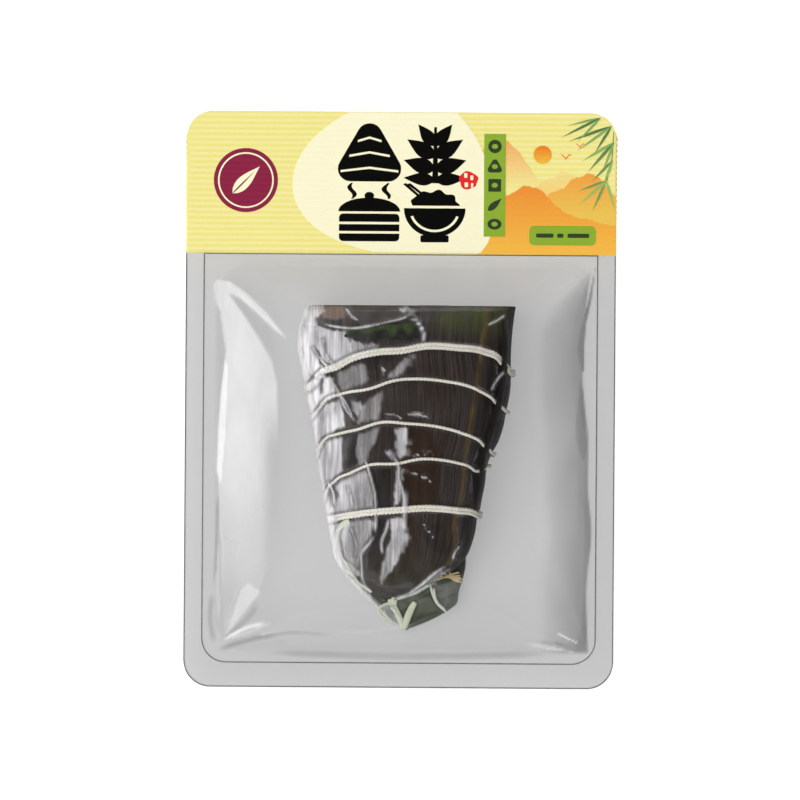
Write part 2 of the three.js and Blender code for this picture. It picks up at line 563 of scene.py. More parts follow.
# The front film's painted light where it is stretched over the pillow's sides: outlines of painted highlight,
# each with its strength, then single lines of painted highlight and of painted shade as path, half width and
# strength.
HIGHLIGHT_SIDE = [(-53.3, 32.4), (-48.0, 25.2), (-43.2, 18.0), (-39.6, 11.8), (-38.0, 5.0), (-37.5, -10),
              (-37.8, -24), (-38.6, -40), (-40, -51), (-43.5, -60), (-48.3, -67), (-54, -73.2),
              (-55.6, -55.6), (-56.1, -34.8), (-56.8, -16.1), (-55.6, 1.6), (-54.3, 15.1), (-56.1, 26),
              (-55.6, 32.7)]
HIGHLIGHT_SPOTS = [
    ([(-58.5, 35.8), (-57.1, 37.2), (-53, 36.5), (-47.8, 32.9), (-41.3, 26.7), (-35.1, 18.7),
      (-38.9, 21.3), (-44.1, 26.3), (-49.9, 31.2), (-53.2, 32.7), (-56.1, 27), (-57.6, 29.6)], 0.5),
    ([(-54.3, 14), (-53.4, 8.8), (-54, -9.9), (-55.6, -28.6), (-56.9, -22.3), (-56.6, -9.9),
      (-55.6, 3.6)], 0.85),
    ([(-54.2, -74.6), (-42.8, -59.8), (-46.5, -56.5), (-49.1, -59.2)], 0.32),
]
# Narrow bands of stronger painted shade just inside the right crease.
RIGHT_SHADE_BANDS = [
    [(60.6, 41.8), (58.2, 30), (56.0, 23.4), (55.1, 18), (55.2, 13.4), (56.5, 9.6), (57.2, 9),
     (57.3, 17.5), (57.8, 24), (59.4, 31.5)],
    [(56.3, 8.5), (55.5, 2.5), (54.7, -6), (54.7, -12.5), (56, -16.3), (57.4, -19), (58.3, -15),
     (57.9, -6), (57.2, 2.5)],
]
HIGHLIGHT_LINES = [
    ([(-55.5, -75.8), (-46.7, -70.9), (-40.1, -69.3)], 0.7, 0.55),
    ([(-54.5, -75.4), (-45, -71.8), (-38, -68.4)], 0.4, 0.3),
    ([(-57, -78), (-46, -74.6), (-36, -71.2)], 0.5, 0.25),
    ([(-56.6, -44), (-56.4, -58), (-56, -70)], 0.6, 0.3),
    ([(57, -75.8), (52.8, -73.8), (48.6, -71.4)], 0.7, 0.6),
    ([(58, -78.4), (46.7, -77), (38.8, -75.4)], 0.6, 0.35),
    ([(54, -77.4), (38.8, -75.4)], 0.6, 0.3),
    ([(59.4, 42), (45, 31.7)], 1.2, 0.12),
    ([(-20, -72.2), (-6, -71.4), (6, -69.6)], 0.5, 0.12),
]
SHADE_LINES = [
    ([(-48, -78.7), (0, -79.9), (54, -78.7)], 1.3, 0.19),
    ([(-57, -78.9), (-48, -75.6), (-34, -72.4), (-18, -73.4)], 0.6, 0.18),
    ([(-57, -78.6), (-50, -76), (-44, -74.2), (-36, -72.6)], 0.8, 0.34),
    ([(-56, -76.6), (-51.4, -72.4), (-46, -67), (-42.6, -62.4)], 1.0, 0.2),
    ([(-53.6, -73), (-50.6, -65), (-48.4, -57)], 0.35, 0.16),
    ([(58.6, -78.3), (53, -76.4), (47, -74.6)], 0.9, 0.42),
    ([(-56.6, -28), (-57, -46), (-57.6, -60)], 0.5, 0.22),
    ([(-58, -60), (-58.8, -68), (-57.2, -77)], 0.9, 0.22),
    ([(55.8, 14), (54.9, -6), (56.6, -18.5)], 0.7, 0.16),
    ([(59, -78.6), (50, -75.6), (43, -74.4)], 0.8, 0.25),
    ([(-18, -69.4), (-4, -71.6), (10, -71)], 0.6, 0.08),
    ([(-57.2, 41), (-56.8, 30)], 1.2, 0.07),
]


def film_tone(x, y):
    """The front film's painted light: painted shade down its right side, a painted highlight down its left.
    """
    beyond = POCKET_HALF_X - x - cubic_table(RIGHT_CREASE, y)
    reach = 4 + 15 * smooth_step(44 - y, 2, 24)
    shade = 0.48 * (1 - smooth_step(beyond, -1, reach)) * smooth_step(beyond, -0.15, 0.45)
    shade = shade * smooth_step(44 - y, 0, 12) * smooth_step(y + 79.2, 0, 1.5)
    for outline in RIGHT_SHADE_BANDS:
        shade = np.maximum(shade, 0.6 * inside_outline(x, y, outline, 0.5))
    shade = shade * (1 + 0.10 * lattice_noise(x * 2.0, y, 9, 14))
    across = smooth_step(x, -54, -39)
    downward = 1 - 0.45 * smooth_step(-y, 18, 46) - 0.35 * smooth_step(-y, 46, 64)
    soft_side = 1 - smooth_step(x, -44, -38.5) * smooth_step(-y, -2, 18)
    painted_highlight = (0.52 - 0.14 * across) * downward * soft_side * inside_outline(x, y, HIGHLIGHT_SIDE, 1.0)
    for outline, strength in HIGHLIGHT_SPOTS:
        painted_highlight = np.maximum(painted_highlight, strength * inside_outline(x, y, outline, 0.9))
    for points, width, strength in HIGHLIGHT_LINES:
        painted_highlight = np.maximum(painted_highlight, strength * ridge(x, y, points, width))
    for points, width, strength in SHADE_LINES:
        shade = np.maximum(shade, strength * ridge(x, y, points, width))
    return np.where(painted_highlight > shade, 0, shade), np.where(painted_highlight > shade, painted_highlight, 0)


def front_film_height(x, y):
    inset = pocket_inset(x, y)
    rise = fullness(inset, crease_inset(x, y), FRONT_SPAN, FRONT_FULLNESS)
    z = SEAM_TOP + FRONT_RISE * rise
    lifted = smooth_step(inset, 1.5, 5.0)
    for points, height, width in FILM_FOLDS:
        z = z + height * ridge(x, y, points, width) * lifted
    slack = smooth_step(inset, 4, 14) * (1 - smooth_step(inset, 26, 38))
    z = z + slack * (0.28 * lattice_noise(x, y, 11, 11) + 0.12 * lattice_noise(x, y, 5, 12))
    return np.minimum(z, TOP_HEIGHT - 0.05)


def back_film_height(x, y):
    inset = pocket_inset(x, y)
    z = SEAM_FOOT * (1 - fullness(inset, BACK_CREASE, BACK_SPAN, BACK_FULLNESS))
    slack = smooth_step(inset, 4, 10) * (1 - smooth_step(inset, 15, 20))
    return np.maximum(z + slack * 0.25 * (lattice_noise(x, y, 9, 21) + 0.6), 0.0)


def spaced(stretches):
    """Places along a line, from (start, end, spacing) stretches that follow each other."""
    places = [stretches[0][0]]
    for start, end, spacing in stretches:
        count = max(int(round((end - start) / spacing)), 1)
        places.extend(np.linspace(start, end, count + 1)[1:])
    return np.array(places)


def corner_drop(x):
    """How much the bag's rounded corner takes off its length at x."""
    past = np.clip(np.abs(x) - (HALF_WIDTH - BAG_CORNER), 0, BAG_CORNER)
    return BAG_CORNER - np.sqrt(BAG_CORNER ** 2 - past ** 2)


def bag_grid():
    """Points of the see-through part of the bag seen from above, out to its rounded foot."""
    xs = spaced([(-HALF_WIDTH, -62, 0.7), (-62, -34, 0.5), (-34, 34, 1.3), (34, 62, 0.5),
                 (62, HALF_WIDTH, 0.7)])
    top = HEADER_FOOT + 0.4
    ys = spaced([(-HALF_LENGTH, -83, 0.85), (-83, -54, 0.55), (-54, 20, 0.8), (20, top, 0.55)])
    x, y = np.meshgrid(xs, ys[::-1])
    part = (top - y) / (top + HALF_LENGTH)
    return x, top - part * (top + HALF_LENGTH - corner_drop(x))


def build_film_bag(front, back):
    """The clear part of the bag: one closed skin, front film over back film."""
    x, y = bag_grid()
    rows, columns = x.shape
    heights = (front_film_height(x, y), back_film_height(x, y))
    verts = np.concatenate([np.stack([x, y, z], axis=2).reshape(-1, 3) for z in heights])
    upper = grid_faces(rows, columns, flip=True)
    lower = grid_faces(rows, columns, start=x.size) + rim_faces(rows, columns)
    piece = add_piece("pouch_film", verts, upper + lower, front, back)
    piece.data.polygons.foreach_set("material_index", [0] * len(upper) + [1] * len(lower))
    # The front film's painted shade and painted highlight; the back film gets none.
    for name, tone in zip(("shade", "painted_highlight"), film_tone(x, y)):
        set_values(piece, name, np.concatenate([tone.ravel(), np.zeros(x.size)]))
    return piece


def arc(cx, cy, rx, ry, start, end, steps):
    """Points of an arc of an ellipse, from start to end degrees."""
    turns = [math.radians(start + (end - start) * k / steps) for k in range(steps + 1)]
    return [(cx + rx * math.cos(turn), cy + ry * math.sin(turn)) for turn in turns]


def edge_line(half_x, low, high, radius):
    """Points down a side of the bag, round its two lower corners and up the other side."""
    inner_x, inner_y = half_x - radius, low + radius
    left_corner = arc(-inner_x, inner_y, radius, radius, 180, 270, 12)
    right_corner = arc(inner_x, inner_y, radius, radius, 270, 360, 12)
    return [(-half_x, high)] + left_corner + right_corner + [(half_x, high)]


def build_weld_lines(material):
    """The thin dark lines where the film is cut and where the welds end."""
    margin = 0.2
    top = HEADER_FOOT - margin
    outer = edge_line(HALF_WIDTH - margin, margin - HALF_LENGTH, top, BAG_CORNER)
    inner = edge_line(POCKET_HALF_X, POCKET_FOOT, top, POCKET_CORNER)
    parts = [tube([(x, y, SEAM_TOP + 0.02) for x, y in line], 0.17, 6, squash=0.6) for line in (outer, inner)]
    parts.append(tube([(x, top, SEAM_TOP) for x in (-POCKET_HALF_X, 0, POCKET_HALF_X)], 0.16, 6))
    return add_piece("weld_lines", *join(parts), material)


# ---------------------------------------------------------------- the printed header

def rib_wave(y):
    return RIB_HEIGHT * np.cos(2 * np.pi * y / RIB_PITCH)


def build_header(material):
    """The header: both films welded flat in fine cross ribs, as one thin slab with round corners."""
    straight = HALF_WIDTH - BAG_CORNER
    xs = spaced([(-HALF_WIDTH, -straight, 0.5), (-straight, straight, 8.0), (straight, HALF_WIDTH, 0.5)])
    rows_in_rib = 8
    x, part = np.meshgrid(xs, np.linspace(0, 1, int(HEADER_DEPTH / RIB_PITCH * rows_in_rib)))
    y = HEADER_FOOT + part * (HEADER_DEPTH - corner_drop(x))
    z = SEAM_TOP - RIB_HEIGHT + rib_wave(y) * smooth_step(y, HEADER_FOOT, HEADER_FOOT + 1.0)
    piece = slab("header", np.stack([x, y, z], axis=2), SEAM_THICKNESS - 0.1, material)
    # Painted highlight along the top of each rib.
    rib_highlight = smooth_step(rib_wave(y), -0.4 * RIB_HEIGHT, 0.7 * RIB_HEIGHT)
    set_values(piece, "rib_highlight", np.concatenate([rib_highlight, rib_highlight]))
    return piece


def print_patch(name, outline, layer, material):
    """A flat field of ink that follows the header's ribs, as a very thin closed slab."""
    bm = bmesh.new()
    bm.faces.new([bm.verts.new((x, y, 0)) for x, y in outline])
    bmesh.ops.triangulate(bm, faces=bm.faces[:])
    low, high = min(y for _, y in outline), max(y for _, y in outline)
    step = RIB_PITCH / 6
    for k in range(math.ceil(low / step), math.floor(high / step) + 1):
        everything = bm.verts[:] + bm.edges[:] + bm.faces[:]
        bmesh.ops.bisect_plane(bm, geom=everything, plane_co=(0, k * step, 0), plane_no=(0, 1, 0), dist=1e-5)
    for face in bm.faces:
        if face.normal.z < 0:
            face.normal_flip()
    for vert in bm.verts:
        vert.co.z = SEAM_TOP - RIB_HEIGHT + float(rib_wave(vert.co.y)) + layer * LAYER_STEP
    shell = bmesh.ops.extrude_face_region(bm, geom=bm.faces[:])
    raised = [item for item in shell["geom"] if isinstance(item, bmesh.types.BMVert)]
    bmesh.ops.translate(bm, verts=raised, vec=(0, 0, INK_THICKNESS))
    bmesh.ops.recalc_face_normals(bm, faces=bm.faces[:])
    for vert in bm.verts:
        vert.co *= MM
    mesh = bpy.data.meshes.new(name)
    bm.to_mesh(mesh)
    bm.free()
    mesh.materials.append(material)
    return link_piece(name, mesh)


def ellipse(cx, cy, rx, ry, steps=40):
    return arc(cx, cy, rx, ry, 0, 360, steps)[:-1]


def box_outline(x0, y0, x1, y1, radius=0.0):
    if not radius:
        return [(x0, y0), (x1, y0), (x1, y1), (x0, y1)]
    left, right, low, high = x0 + radius, x1 - radius, y0 + radius, y1 - radius
    corners = ((right, high), (left, high), (left, low), (right, low))
    return [point for k, (cx, cy) in enumerate(corners)
            for point in arc(cx, cy, radius, radius, 90 * k, 90 * k + 90, 6)]


def hills(points, foot):
    """A hill's outline: its skyline, then down to its foot."""
    skyline = [(x, y + 0.22 * float(lattice_noise(x, 0.0, 0.7, 81))) for x, y in smooth_path(points, 0.45)]
    return skyline + [(skyline[-1][0], foot), (skyline[0][0], foot)]


def bamboo_leaf(x, y, angle, length, width):
    """A pointed leaf from its stalk end, as an outline."""
    c, s = math.cos(math.radians(angle)), math.sin(math.radians(angle))
    steps = 9
    up_and_back = [(1, k / steps) for k in range(steps)] + [(-1, 1 - k / steps) for k in range(steps)]
    points = []
    for side, part in up_and_back:
        bulge = side * width * math.sin(math.pi * part ** 0.8) * (1 - 0.35 * part)
        points.append((x + c * part * length - s * bulge, y + s * part * length + c * bulge))
    return points


def rounded_triangle(cx, cy, size):
    points = []
    for corner in (90, 210, 330):
        x = cx + size * 0.62 * math.cos(math.radians(corner))
        y = cy + size * 0.62 * math.sin(math.radians(corner))
        points += arc(x, y, 0.36 * size, 0.36 * size, corner - 60, corner + 60, 8)
    return points


def wavy_strip(x, y0, y1, width, sway, phase):
    """An upright strip that sways from side to side and thins towards its ends."""
    points = []
    for side in (-1, 1):
        for part in np.linspace(0, 1, 13)[::-side]:
            middle = x + sway * math.sin(2 * math.pi * part + phase)
            half = width * math.sin(math.pi * (0.1 + 0.8 * part))
            points.append((middle + side * half, y0 + (y1 - y0) * part))
    return points


def print_dumpling(black, cream):
    cx, cy = -10.0, 75.4
    print_patch("print_dumpling", rounded_triangle(cx, cy, 11.0), 6, black)
    for k, (wide, rise) in enumerate(((9.0, -4.2), (6.3, 0.6), (3.7, 5.2))):
        y = cy + rise
        bar = [(cx - wide, y - 0.35), (cx, y + 0.75), (cx + wide, y - 0.35), (cx + wide, y + 0.35),
               (cx, y + 1.45), (cx - wide, y + 0.35)]
        print_patch("print_dumpling_string_%d" % (k + 1), bar, 7, cream)


def print_sprig(black):
    cx, cy = 10.4, 67.6
    stem = [(cx - 0.9, cy), (cx + 1.1, cy), (cx + 0.5, cy + 17.5), (cx - 0.3, cy + 17.5)]
    print_patch("print_sprig_stem", stem, 6, black)
    pairs = [(1.0, 4, 9.8, 2.3), (4.2, 17, 10.2, 2.9), (8.0, 33, 10.4, 2.8), (11.6, 52, 8.6, 2.4)]
    for k, (rise, angle, length, width) in enumerate(pairs):
        for side, turn in (("right", angle), ("left", 180 - angle)):
            leaf = bamboo_leaf(cx, cy + rise, turn, length, width)
            print_patch("print_sprig_leaf_%s_%d" % (side, k + 1), leaf, 6.5 + 0.3 * k, black)


def print_steamer(black, cream):
    cx, cy, half = -10.0, 49.4, 9.4
    print_patch("print_steamer", box_outline(cx - half, cy, cx + half, cy + 8.6, 1.3), 6, black)
    for k, rise in enumerate((2.4, 5.3)):
        hoop = box_outline(cx - half, cy + rise, cx + half, cy + rise + 0.75)
        print_patch("print_steamer_hoop_%d" % (k + 1), hoop, 7, cream)
    print_patch("print_steamer_lid", arc(cx, cy + 9.3, 9.6, 4.3, 0, 180, 24), 6, black)
    print_patch("print_steamer_knob", ellipse(cx, cy + 14.2, 1.5, 1.2, 20), 6, black)
    for k, x in enumerate((cx - 5.4, cx + 5.4)):
        steam = wavy_strip(x, cy + 13.2, cy + 18.2, 0.85, 0.8, 0.8 * k)
        print_patch("print_steam_%d" % (k + 1), steam, 6, black)


def print_bowl(black, cream):
    cx, cy = 10.4, 49.4
    rim = cy + 10.4
    print_patch("print_bowl", arc(cx, rim, 9.6, 9.0, 180, 360, 32), 6, black)
    print_patch("print_bowl_foot", box_outline(cx - 4.4, cy - 0.2, cx + 4.4, cy + 2.0, 0.5), 6.5, black)
    band = arc(cx, rim, 8.0, 7.44, 200.5, 339.2, 20) + arc(cx, rim, 7.2, 6.7, 339.2, 200.5, 20)
    print_patch("print_bowl_band", band, 7, cream)
    rice = [(cx + (7.4 + 0.45 * math.cos(9 * t)) * math.cos(t),
             cy + 11.2 + (4.6 + 0.5 * math.cos(9 * t)) * math.sin(t)) for t in np.linspace(0, math.pi, 41)]
    print_patch("print_bowl_rice", rice, 6, black)
    for k, lean in enumerate((-1.2, 0.9)):
        stick = [(cx - 2.1 - lean, cy + 12), (cx - 1.0 - lean, cy + 12),
                 (cx - 8.4 - 0.6 * lean, cy + 18.2), (cx - 9.4 - 0.6 * lean, cy + 17.9)]
        print_patch("print_chopstick_%d" % (k + 1), stick, 6.2 + 0.3 * k, black)


INKS = {
    "ink_cream": (1.0, 0.955, 0.66),
    "ink_black": (0.0015, 0.0015, 0.0012),
    "ink_maroon": (0.26, 0.012, 0.052),
    "ink_red": (0.80, 0.020, 0.020),
    "ink_green": (0.265, 0.43, 0.030),
    "ink_dark_green": (0.03, 0.05, 0.02),
    "ink_bird": (0.85, 0.22, 0.05),
}


# Each layer of hills, from the farthest: its name, its ink low down and high up, the heights between
# which one ink fades into the other, and its skyline.
HILLS = [
    ("far", (0.93, 0.83, 0.30), (0.92, 0.44, 0.14), (66, 80),
     [(23, 76.5), (26, 78.6), (28.6, 79.2), (30.4, 80.6), (33, 80.9), (34.6, 79.2), (36.5, 77.8),
      (38.4, 74.6), (39.9, 73.0), (42, 69.5), (46, 66.8)]),
    ("pale", (0.94, 0.62, 0.16), (0.93, 0.74, 0.26), (60, 71),
     [(41, 66), (45.2, 69.0), (47.5, 69.6), (50.2, 71.6), (52.5, 70.8), (55, 69.6), (58, 68)]),
    ("middle", (0.86, 0.56, 0.09), (0.90, 0.36, 0.055), (58, 70.5),
     [(44, 62.8), (47, 65.0), (50.2, 66.2), (53.5, 69.2), (56, 70.0), (58.6, 71.0), (60.4, 70.2),
      (61.7, 69.6), (63.2, 67.4), (64.6, 66.0), (PRINT_RIGHT, 63.4)]),
    ("near", (0.94, 0.50, 0.06), (0.88, 0.29, 0.035), (47, 66),
     [(24, 58), (28, 60.4), (32.4, 63.6), (35.5, 65.3), (37.2, 66.6), (39.3, 66.9), (41.4, 66.4),
      (43, 66.0), (45.8, 63.2), (48, 61.0), (50.2, 59.3), (54.8, 57.2), (58.5, 56.6), (61.7, 55.5),
      (PRINT_RIGHT, 54.5)]),
]


def build_scenery(inks):
    """The right end of the header: layered hills, a low sun and two birds."""
    for number, (name, low_ink, high_ink, spread, skyline) in enumerate(HILLS):
        ink = print_material("ink_%s_hill" % name, low_ink, high_ink, spread)
        print_patch("print_hill_%s" % name, hills(skyline, HEADER_FOOT + 0.05), number + 1, ink)
    sun = print_material("ink_sun", (0.90, 0.52, 0.05), (0.86, 0.20, 0.01), (74, 79.5))
    print_patch("print_sun", ellipse(43.9, 76.7, 2.85, 2.85), 4, sun)
    wing = [(-1, 0.35), (-0.5, 0.25), (0, -0.25), (0.55, 0.35), (1.05, 0.2), (0.5, 0.05), (0.05, -0.6),
            (-0.45, 0)]
    for number, (x, y, size) in enumerate(((51.1, 76.3, 1.9), (55.5, 79.8, 1.5))):
        bird = [(x + u * size, y + v * size) for u, v in wing]
        print_patch("print_bird_%d" % (number + 1), bird, 4, inks["ink_bird"])


BAMBOO = [
    # stalk end, then (angle, length, half width) of each of its leaves
    ((62.0, 88.4), [(194, 11.0, 0.42), (207, 14.0, 0.5), (226, 10.5, 0.45)]),
    ((65.4, 85.8), [(200, 14.5, 0.55), (216, 13.5, 0.5), (238, 10.0, 0.5)]),
    ((66.2, 80.8), [(211, 12.0, 0.55), (229, 12.5, 0.6), (249, 11.0, 0.5)]),
    ((65.8, 75.2), [(226, 9.5, 0.45), (250, 9.5, 0.5)]),
    ((63.8, 68.8), [(201, 9.6, 0.45), (222, 11.4, 0.55), (246, 10.6, 0.5), (286, 9.6, 0.5)]),
]


def build_bamboo():
    inks = [print_material("ink_bamboo", (0.20, 0.36, 0.10), (0.085, 0.20, 0.06), (62, 86)),
            print_material("ink_bamboo_pale", (0.36, 0.52, 0.13), (0.24, 0.40, 0.12), (62, 86))]
    number = 0
    for (x, y), leaves in BAMBOO:
        for angle, length, width in leaves:
            number += 1
            outline = bamboo_leaf(x, y, angle, length, width)
            print_patch("print_bamboo_%02d" % number, outline, 6 + 0.75 * (number % 4), inks[number % 2])
    stem = [(65.9, 84), (66.15, 84), (65.7, 76), (64.1, 68.6), (63.8, 68.8), (65.4, 76)]
    print_patch("print_bamboo_stem", stem, 5, inks[0])


def print_cream_field(cream):
    """The pale field under the title, which swells to the left and narrows to the header's top."""
    foot = HEADER_FOOT + 0.5
    left = smooth_path([(-16.5, PRINT_TOP), (-22.5, 85.8), (-28.5, 80.4), (-32.8, 73.4), (-34.0, 67.3),
                        (-32.9, 61.5), (-30.2, 57.0), (-26, 53.0), (-20.6, 49.9), (-15, 47.8),
                        (-8.5, foot)], 1.0)
    right = smooth_path([(24.8, foot), (27.2, 49.5), (28.2, 55), (28.4, 62), (27.8, 68.5), (26.2, 75.1),
                         (22.8, 82.4), (19.6, 87.0), (17.4, PRINT_TOP)], 1.0)
    print_patch("print_cream", [*left, *right], 5, cream)


def print_badge(maroon, cream):
    x, y = -48.5, 68.2
    for layer, (name, radius, ink) in enumerate((("badge", 10.0, maroon), ("badge_ring", 8.7, cream),
                                                 ("badge_middle", 8.2, maroon))):
        print_patch("print_" + name, ellipse(x, y, radius, radius, 64), layer + 1, ink)
    print_patch("print_badge_leaf", bamboo_leaf(x - 4.2, y - 4.2, 45, 12.0, 2.3), 4, cream)
    print_patch("print_badge_vein", bamboo_leaf(x - 4.6, y - 4.6, 45, 10.5, 0.28), 5, maroon)


def print_stamp(red, cream):
    """A small uneven stamp with four bars."""
    turns = np.linspace(0, 2 * np.pi, 33)[:-1]
    stamp = [(20.9 + (2.9 + 0.25 * math.sin(5 * t)) * math.cos(t),
              68.6 + (2.8 + 0.25 * math.cos(3 * t)) * math.sin(t)) for t in turns]
    print_patch("print_stamp", stamp, 8, red)
    bars = ((20.0, 70.1, 1.0), (21.9, 69.4, 0.9), (20.2, 67.2, 1.1), (22.0, 67.0, 0.7))
    for k, (x, y, wide) in enumerate(bars):
        bar = box_outline(x - wide / 2, y - 0.75, x + wide / 2, y + 0.75, 0.3)
        print_patch("print_stamp_mark_%d" % (k + 1), bar, 9, cream)


def print_label(green, dark_green):
    """The upright label with five plain marks, and the pill with three dashes."""
    print_patch("print_label", box_outline(25.7, 51.1, 32.4, 83.1), 7, green)
    x, top, pitch = 29.05, 79.2, 6.05
    y = [top - pitch * k for k in range(5)]
    marks = [ellipse(x, y[0], 2.1, 2.1, 28), rounded_triangle(x, y[1] - 0.4, 2.5),
             box_outline(x - 2.0, y[2] - 2.0, x + 2.0, y[2] + 2.0, 0.4),
             bamboo_leaf(x - 2.1, y[3] - 1.9, 42, 5.8, 1.2), ellipse(x, y[4], 2.2, 1.7, 28)]
    for k, mark in enumerate(marks):
        print_patch("print_label_mark_%d" % (k + 1), mark, 8, dark_green)
        if k != 3:
            middle = ellipse(x, y[k] - 0.2 * (k == 1), 0.95, 0.75, 20)
            print_patch("print_label_mark_%d_middle" % (k + 1), middle, 9, green)
    print_patch("print_pill", box_outline(39.9, 48.5, 60.7, 54.6, 1.6), 7, green)
    for k, (x0, x1) in enumerate(((42.0, 47.5), (48.6, 50.6), (51.8, 58.6))):
        print_patch("print_pill_mark_%d" % (k + 1), box_outline(x0, 50.9, x1, 52.2, 0.5), 8, dark_green)


def build_print():
    """Every field of ink on the header: plain shapes, with no lettering."""
    inks = {name: print_material(name, colour) for name, colour in INKS.items()}
    black, cream, maroon, green = (inks["ink_" + name] for name in ("black", "cream", "maroon", "green"))
    build_scenery(inks)
    build_bamboo()
    print_cream_field(cream)
    print_dumpling(black, cream)
    print_sprig(black)
    print_steamer(black, cream)
    print_bowl(black, cream)
    print_badge(maroon, cream)
    print_stamp(inks["ink_red"], cream)
    print_label(green, inks["ink_dark_green"])


# ---------------------------------------------------------------- the dumpling

# A lofted body is four lines: its left and right edges seen from above, and the heights of its top
# and foot, each as (place along the body, value). LEAF is the tied bundle.
LEAF_HEAD, LEAF_POINT = 29.2, -62.3
LEAF_LEFT = [(29.2, -28.4), (23, -30.6), (16.2, -31.2), (7.5, -29.4), (-6.2, -26.6), (-23, -24.0),
             (-36.8, -21.4), (-46, -18.8), (-52, -16.2), (-57, -12.8), (-60.3, -9.0), (-62.3, -4.0)]
LEAF_RIGHT = [(29.2, 35.8), (24, 35.2), (16.5, 34.6), (6, 34.5), (-3, 33.3), (-12.5, 30.8), (-19, 28.0),
              (-27, 26.4), (-37.4, 24.4), (-44, 22.8), (-49, 20.6), (-53, 16.8), (-56, 11.8), (-59, 6.2),
              (-61.2, 1.4), (-62.3, -4.0)]
LEAF_TOP = [(29.2, 24.8), (27, 27.2), (25, 28.8), (20, 32.0), (10, 35.6), (0, 37.0), (-10, 36.6),
            (-20, 35.2), (-30, 32.8), (-40, 29.4), (-48, 25.8), (-54, 22.4), (-58.5, 18.6),
            (-61.2, 14.5), (-62.3, 10.5)]
LEAF_FOOT = [(29.2, 5.2), (25, 3.0), (20, 1.8), (10, 1.2), (-50, 1.2), (-57, 2.0), (-61, 4.6), (-62.3, 8.0)]
LEAF = (LEAF_LEFT, LEAF_RIGHT, LEAF_TOP, LEAF_FOOT)
# How square the bundle's section is at its left, its right and its foot, where 2 is an ellipse.
LEAF_POWERS = (1.95, 2.9, 2.6)


def station(body, y):
    """Middle and half width, then middle and half depth, of a lofted body at y."""
    left, right, top, foot = (cubic_table(line, y) for line in body)
    half, thick = (right - left) / 2, (top - foot) / 2
    return (left + right) / 2, np.maximum(half, 0.05), (top + foot) / 2, np.maximum(thick, 0.05)


def section_point(body, powers, y, angle):
    """A point of a body's skin: angle 0 is its right side, a quarter turn its front."""
    cx, half, cz, thick = station(body, y)
    c, s = np.cos(angle), np.sin(angle)
    left, right, foot = powers
    power = np.where(s < 0, foot, np.where(c < 0, left, right))
    x = cx + half * np.sign(c) * np.abs(c) ** (2 / power)
    z = cz + thick * np.sign(s) * np.abs(s) ** (2 / power)
    return x, z


def front_height(body, powers, x, y):
    """Height of a body's front above the table."""
    cx, half, cz, thick = station(body, y)
    u = np.clip((x - cx) / half, -1, 1)
    power = np.where(u < 0, powers[0], powers[1])
    return cz + thick * (1 - np.abs(u) ** power) ** (1 / power)


def outward(body, x, y, z):
    """The direction out of a body's section at a point of its skin, as its x and z parts."""
    cx, half, cz, thick = station(body, y)
    away_x, away_z = (x - cx) / half ** 2, (z - cz) / thick ** 2
    size = np.maximum(np.hypot(away_x, away_z), 1e-9)
    return away_x / size, away_z / size


def add_loft(name, grid, material):
    """A closed piece from rows of points that run round a body, closed by cap rows at its ends."""
    faces = grid_faces(*grid.shape[:2], wrap=True, flip=True)
    return add_piece(name, grid.reshape(-1, 3), faces, material)


MIDRIB = [(26.6, 29), (26.5, 24), (25.5, 19.5), (24.6, 12.5), (23.7, 6), (23.0, 1), (22.1, -5.3),
          (21.5, -9.7), (20.6, -15.3), (19.6, -26.8), (18.7, -31.5), (17.1, -37.7), (17.1, -46.7),
          (15.3, -50.5)]

# Each string: where it crosses the front, from the left edge to the right, and its radius.
STRINGS = {
    "string_1": ([(-29.5, 3), (-27, 4.7), (-24, 8.4), (-20, 10.0), (-15.3, 12.5), (-7.5, 14.6), (1, 15.3),
                  (6.9, 16.5), (18, 16.2), (25.2, 15.3), (32.4, 11.5), (34.5, 8.5)], 0.62),
    "string_2": ([(-27.5, -6), (-25.5, -3.4), (-22.7, 0), (-18.7, 1.6), (-9.3, 3.4), (-1.9, 5.9),
                  (6.2, 6.5), (13.4, 5.9), (23, 3.7), (30.2, -0.6), (33.3, -3.6)], 0.52),
    "string_3": ([(-26, -18), (-24.9, -15), (-23.4, -12.5), (-20, -10.9), (-13.4, -9.3), (-5.6, -6.9),
                  (1.9, -7.2), (11.5, -8.1), (19, -10), (26.8, -14), (29.4, -17)], 0.52),
    "string_4": ([(-23.6, -32), (-23, -29.6), (-20, -25.2), (-15.3, -22.7), (-10, -20.3), (-0.9, -19.6),
                  (6.9, -18.1), (13.4, -18.4), (20.6, -19.9), (26, -21.5), (27.4, -20.3)], 0.5),
    "string_5": ([(-21.8, -37.2), (-15.3, -35.8), (-7.5, -34.6), (-0.9, -34), (8.7, -33.3), (18, -34),
                  (23.4, -34.9), (24.5, -35.6)], 0.6),
}
DOUBLE_STRINGS = ("string_1", "string_5")


def string_gaps(x, y):
    """For each string, the distance from its middle line, its half width with its double, its radius."""
    for name, (points, radius) in STRINGS.items():
        gap, _ = distance_to_path(x, y, smooth_path(points, 2.0))
        yield gap, 2 * radius if name in DOUBLE_STRINGS else radius, radius


def string_height(x, y):
    """How high the strings stand over the leaf at a place on the front, for the film over them."""
    lift = np.zeros(np.shape(x))
    for gap, wide, radius in string_gaps(x, y):
        lift = np.maximum(lift, 1.9 * radius * np.exp(-(np.maximum(gap - wide * 0.6, 0) / 0.75) ** 2))
    return lift


def string_clearance(x, y):
    """Distance from the side of the nearest string, negative over the string itself."""
    return np.min([gap - wide for gap, wide, _ in string_gaps(x, y)], axis=0)


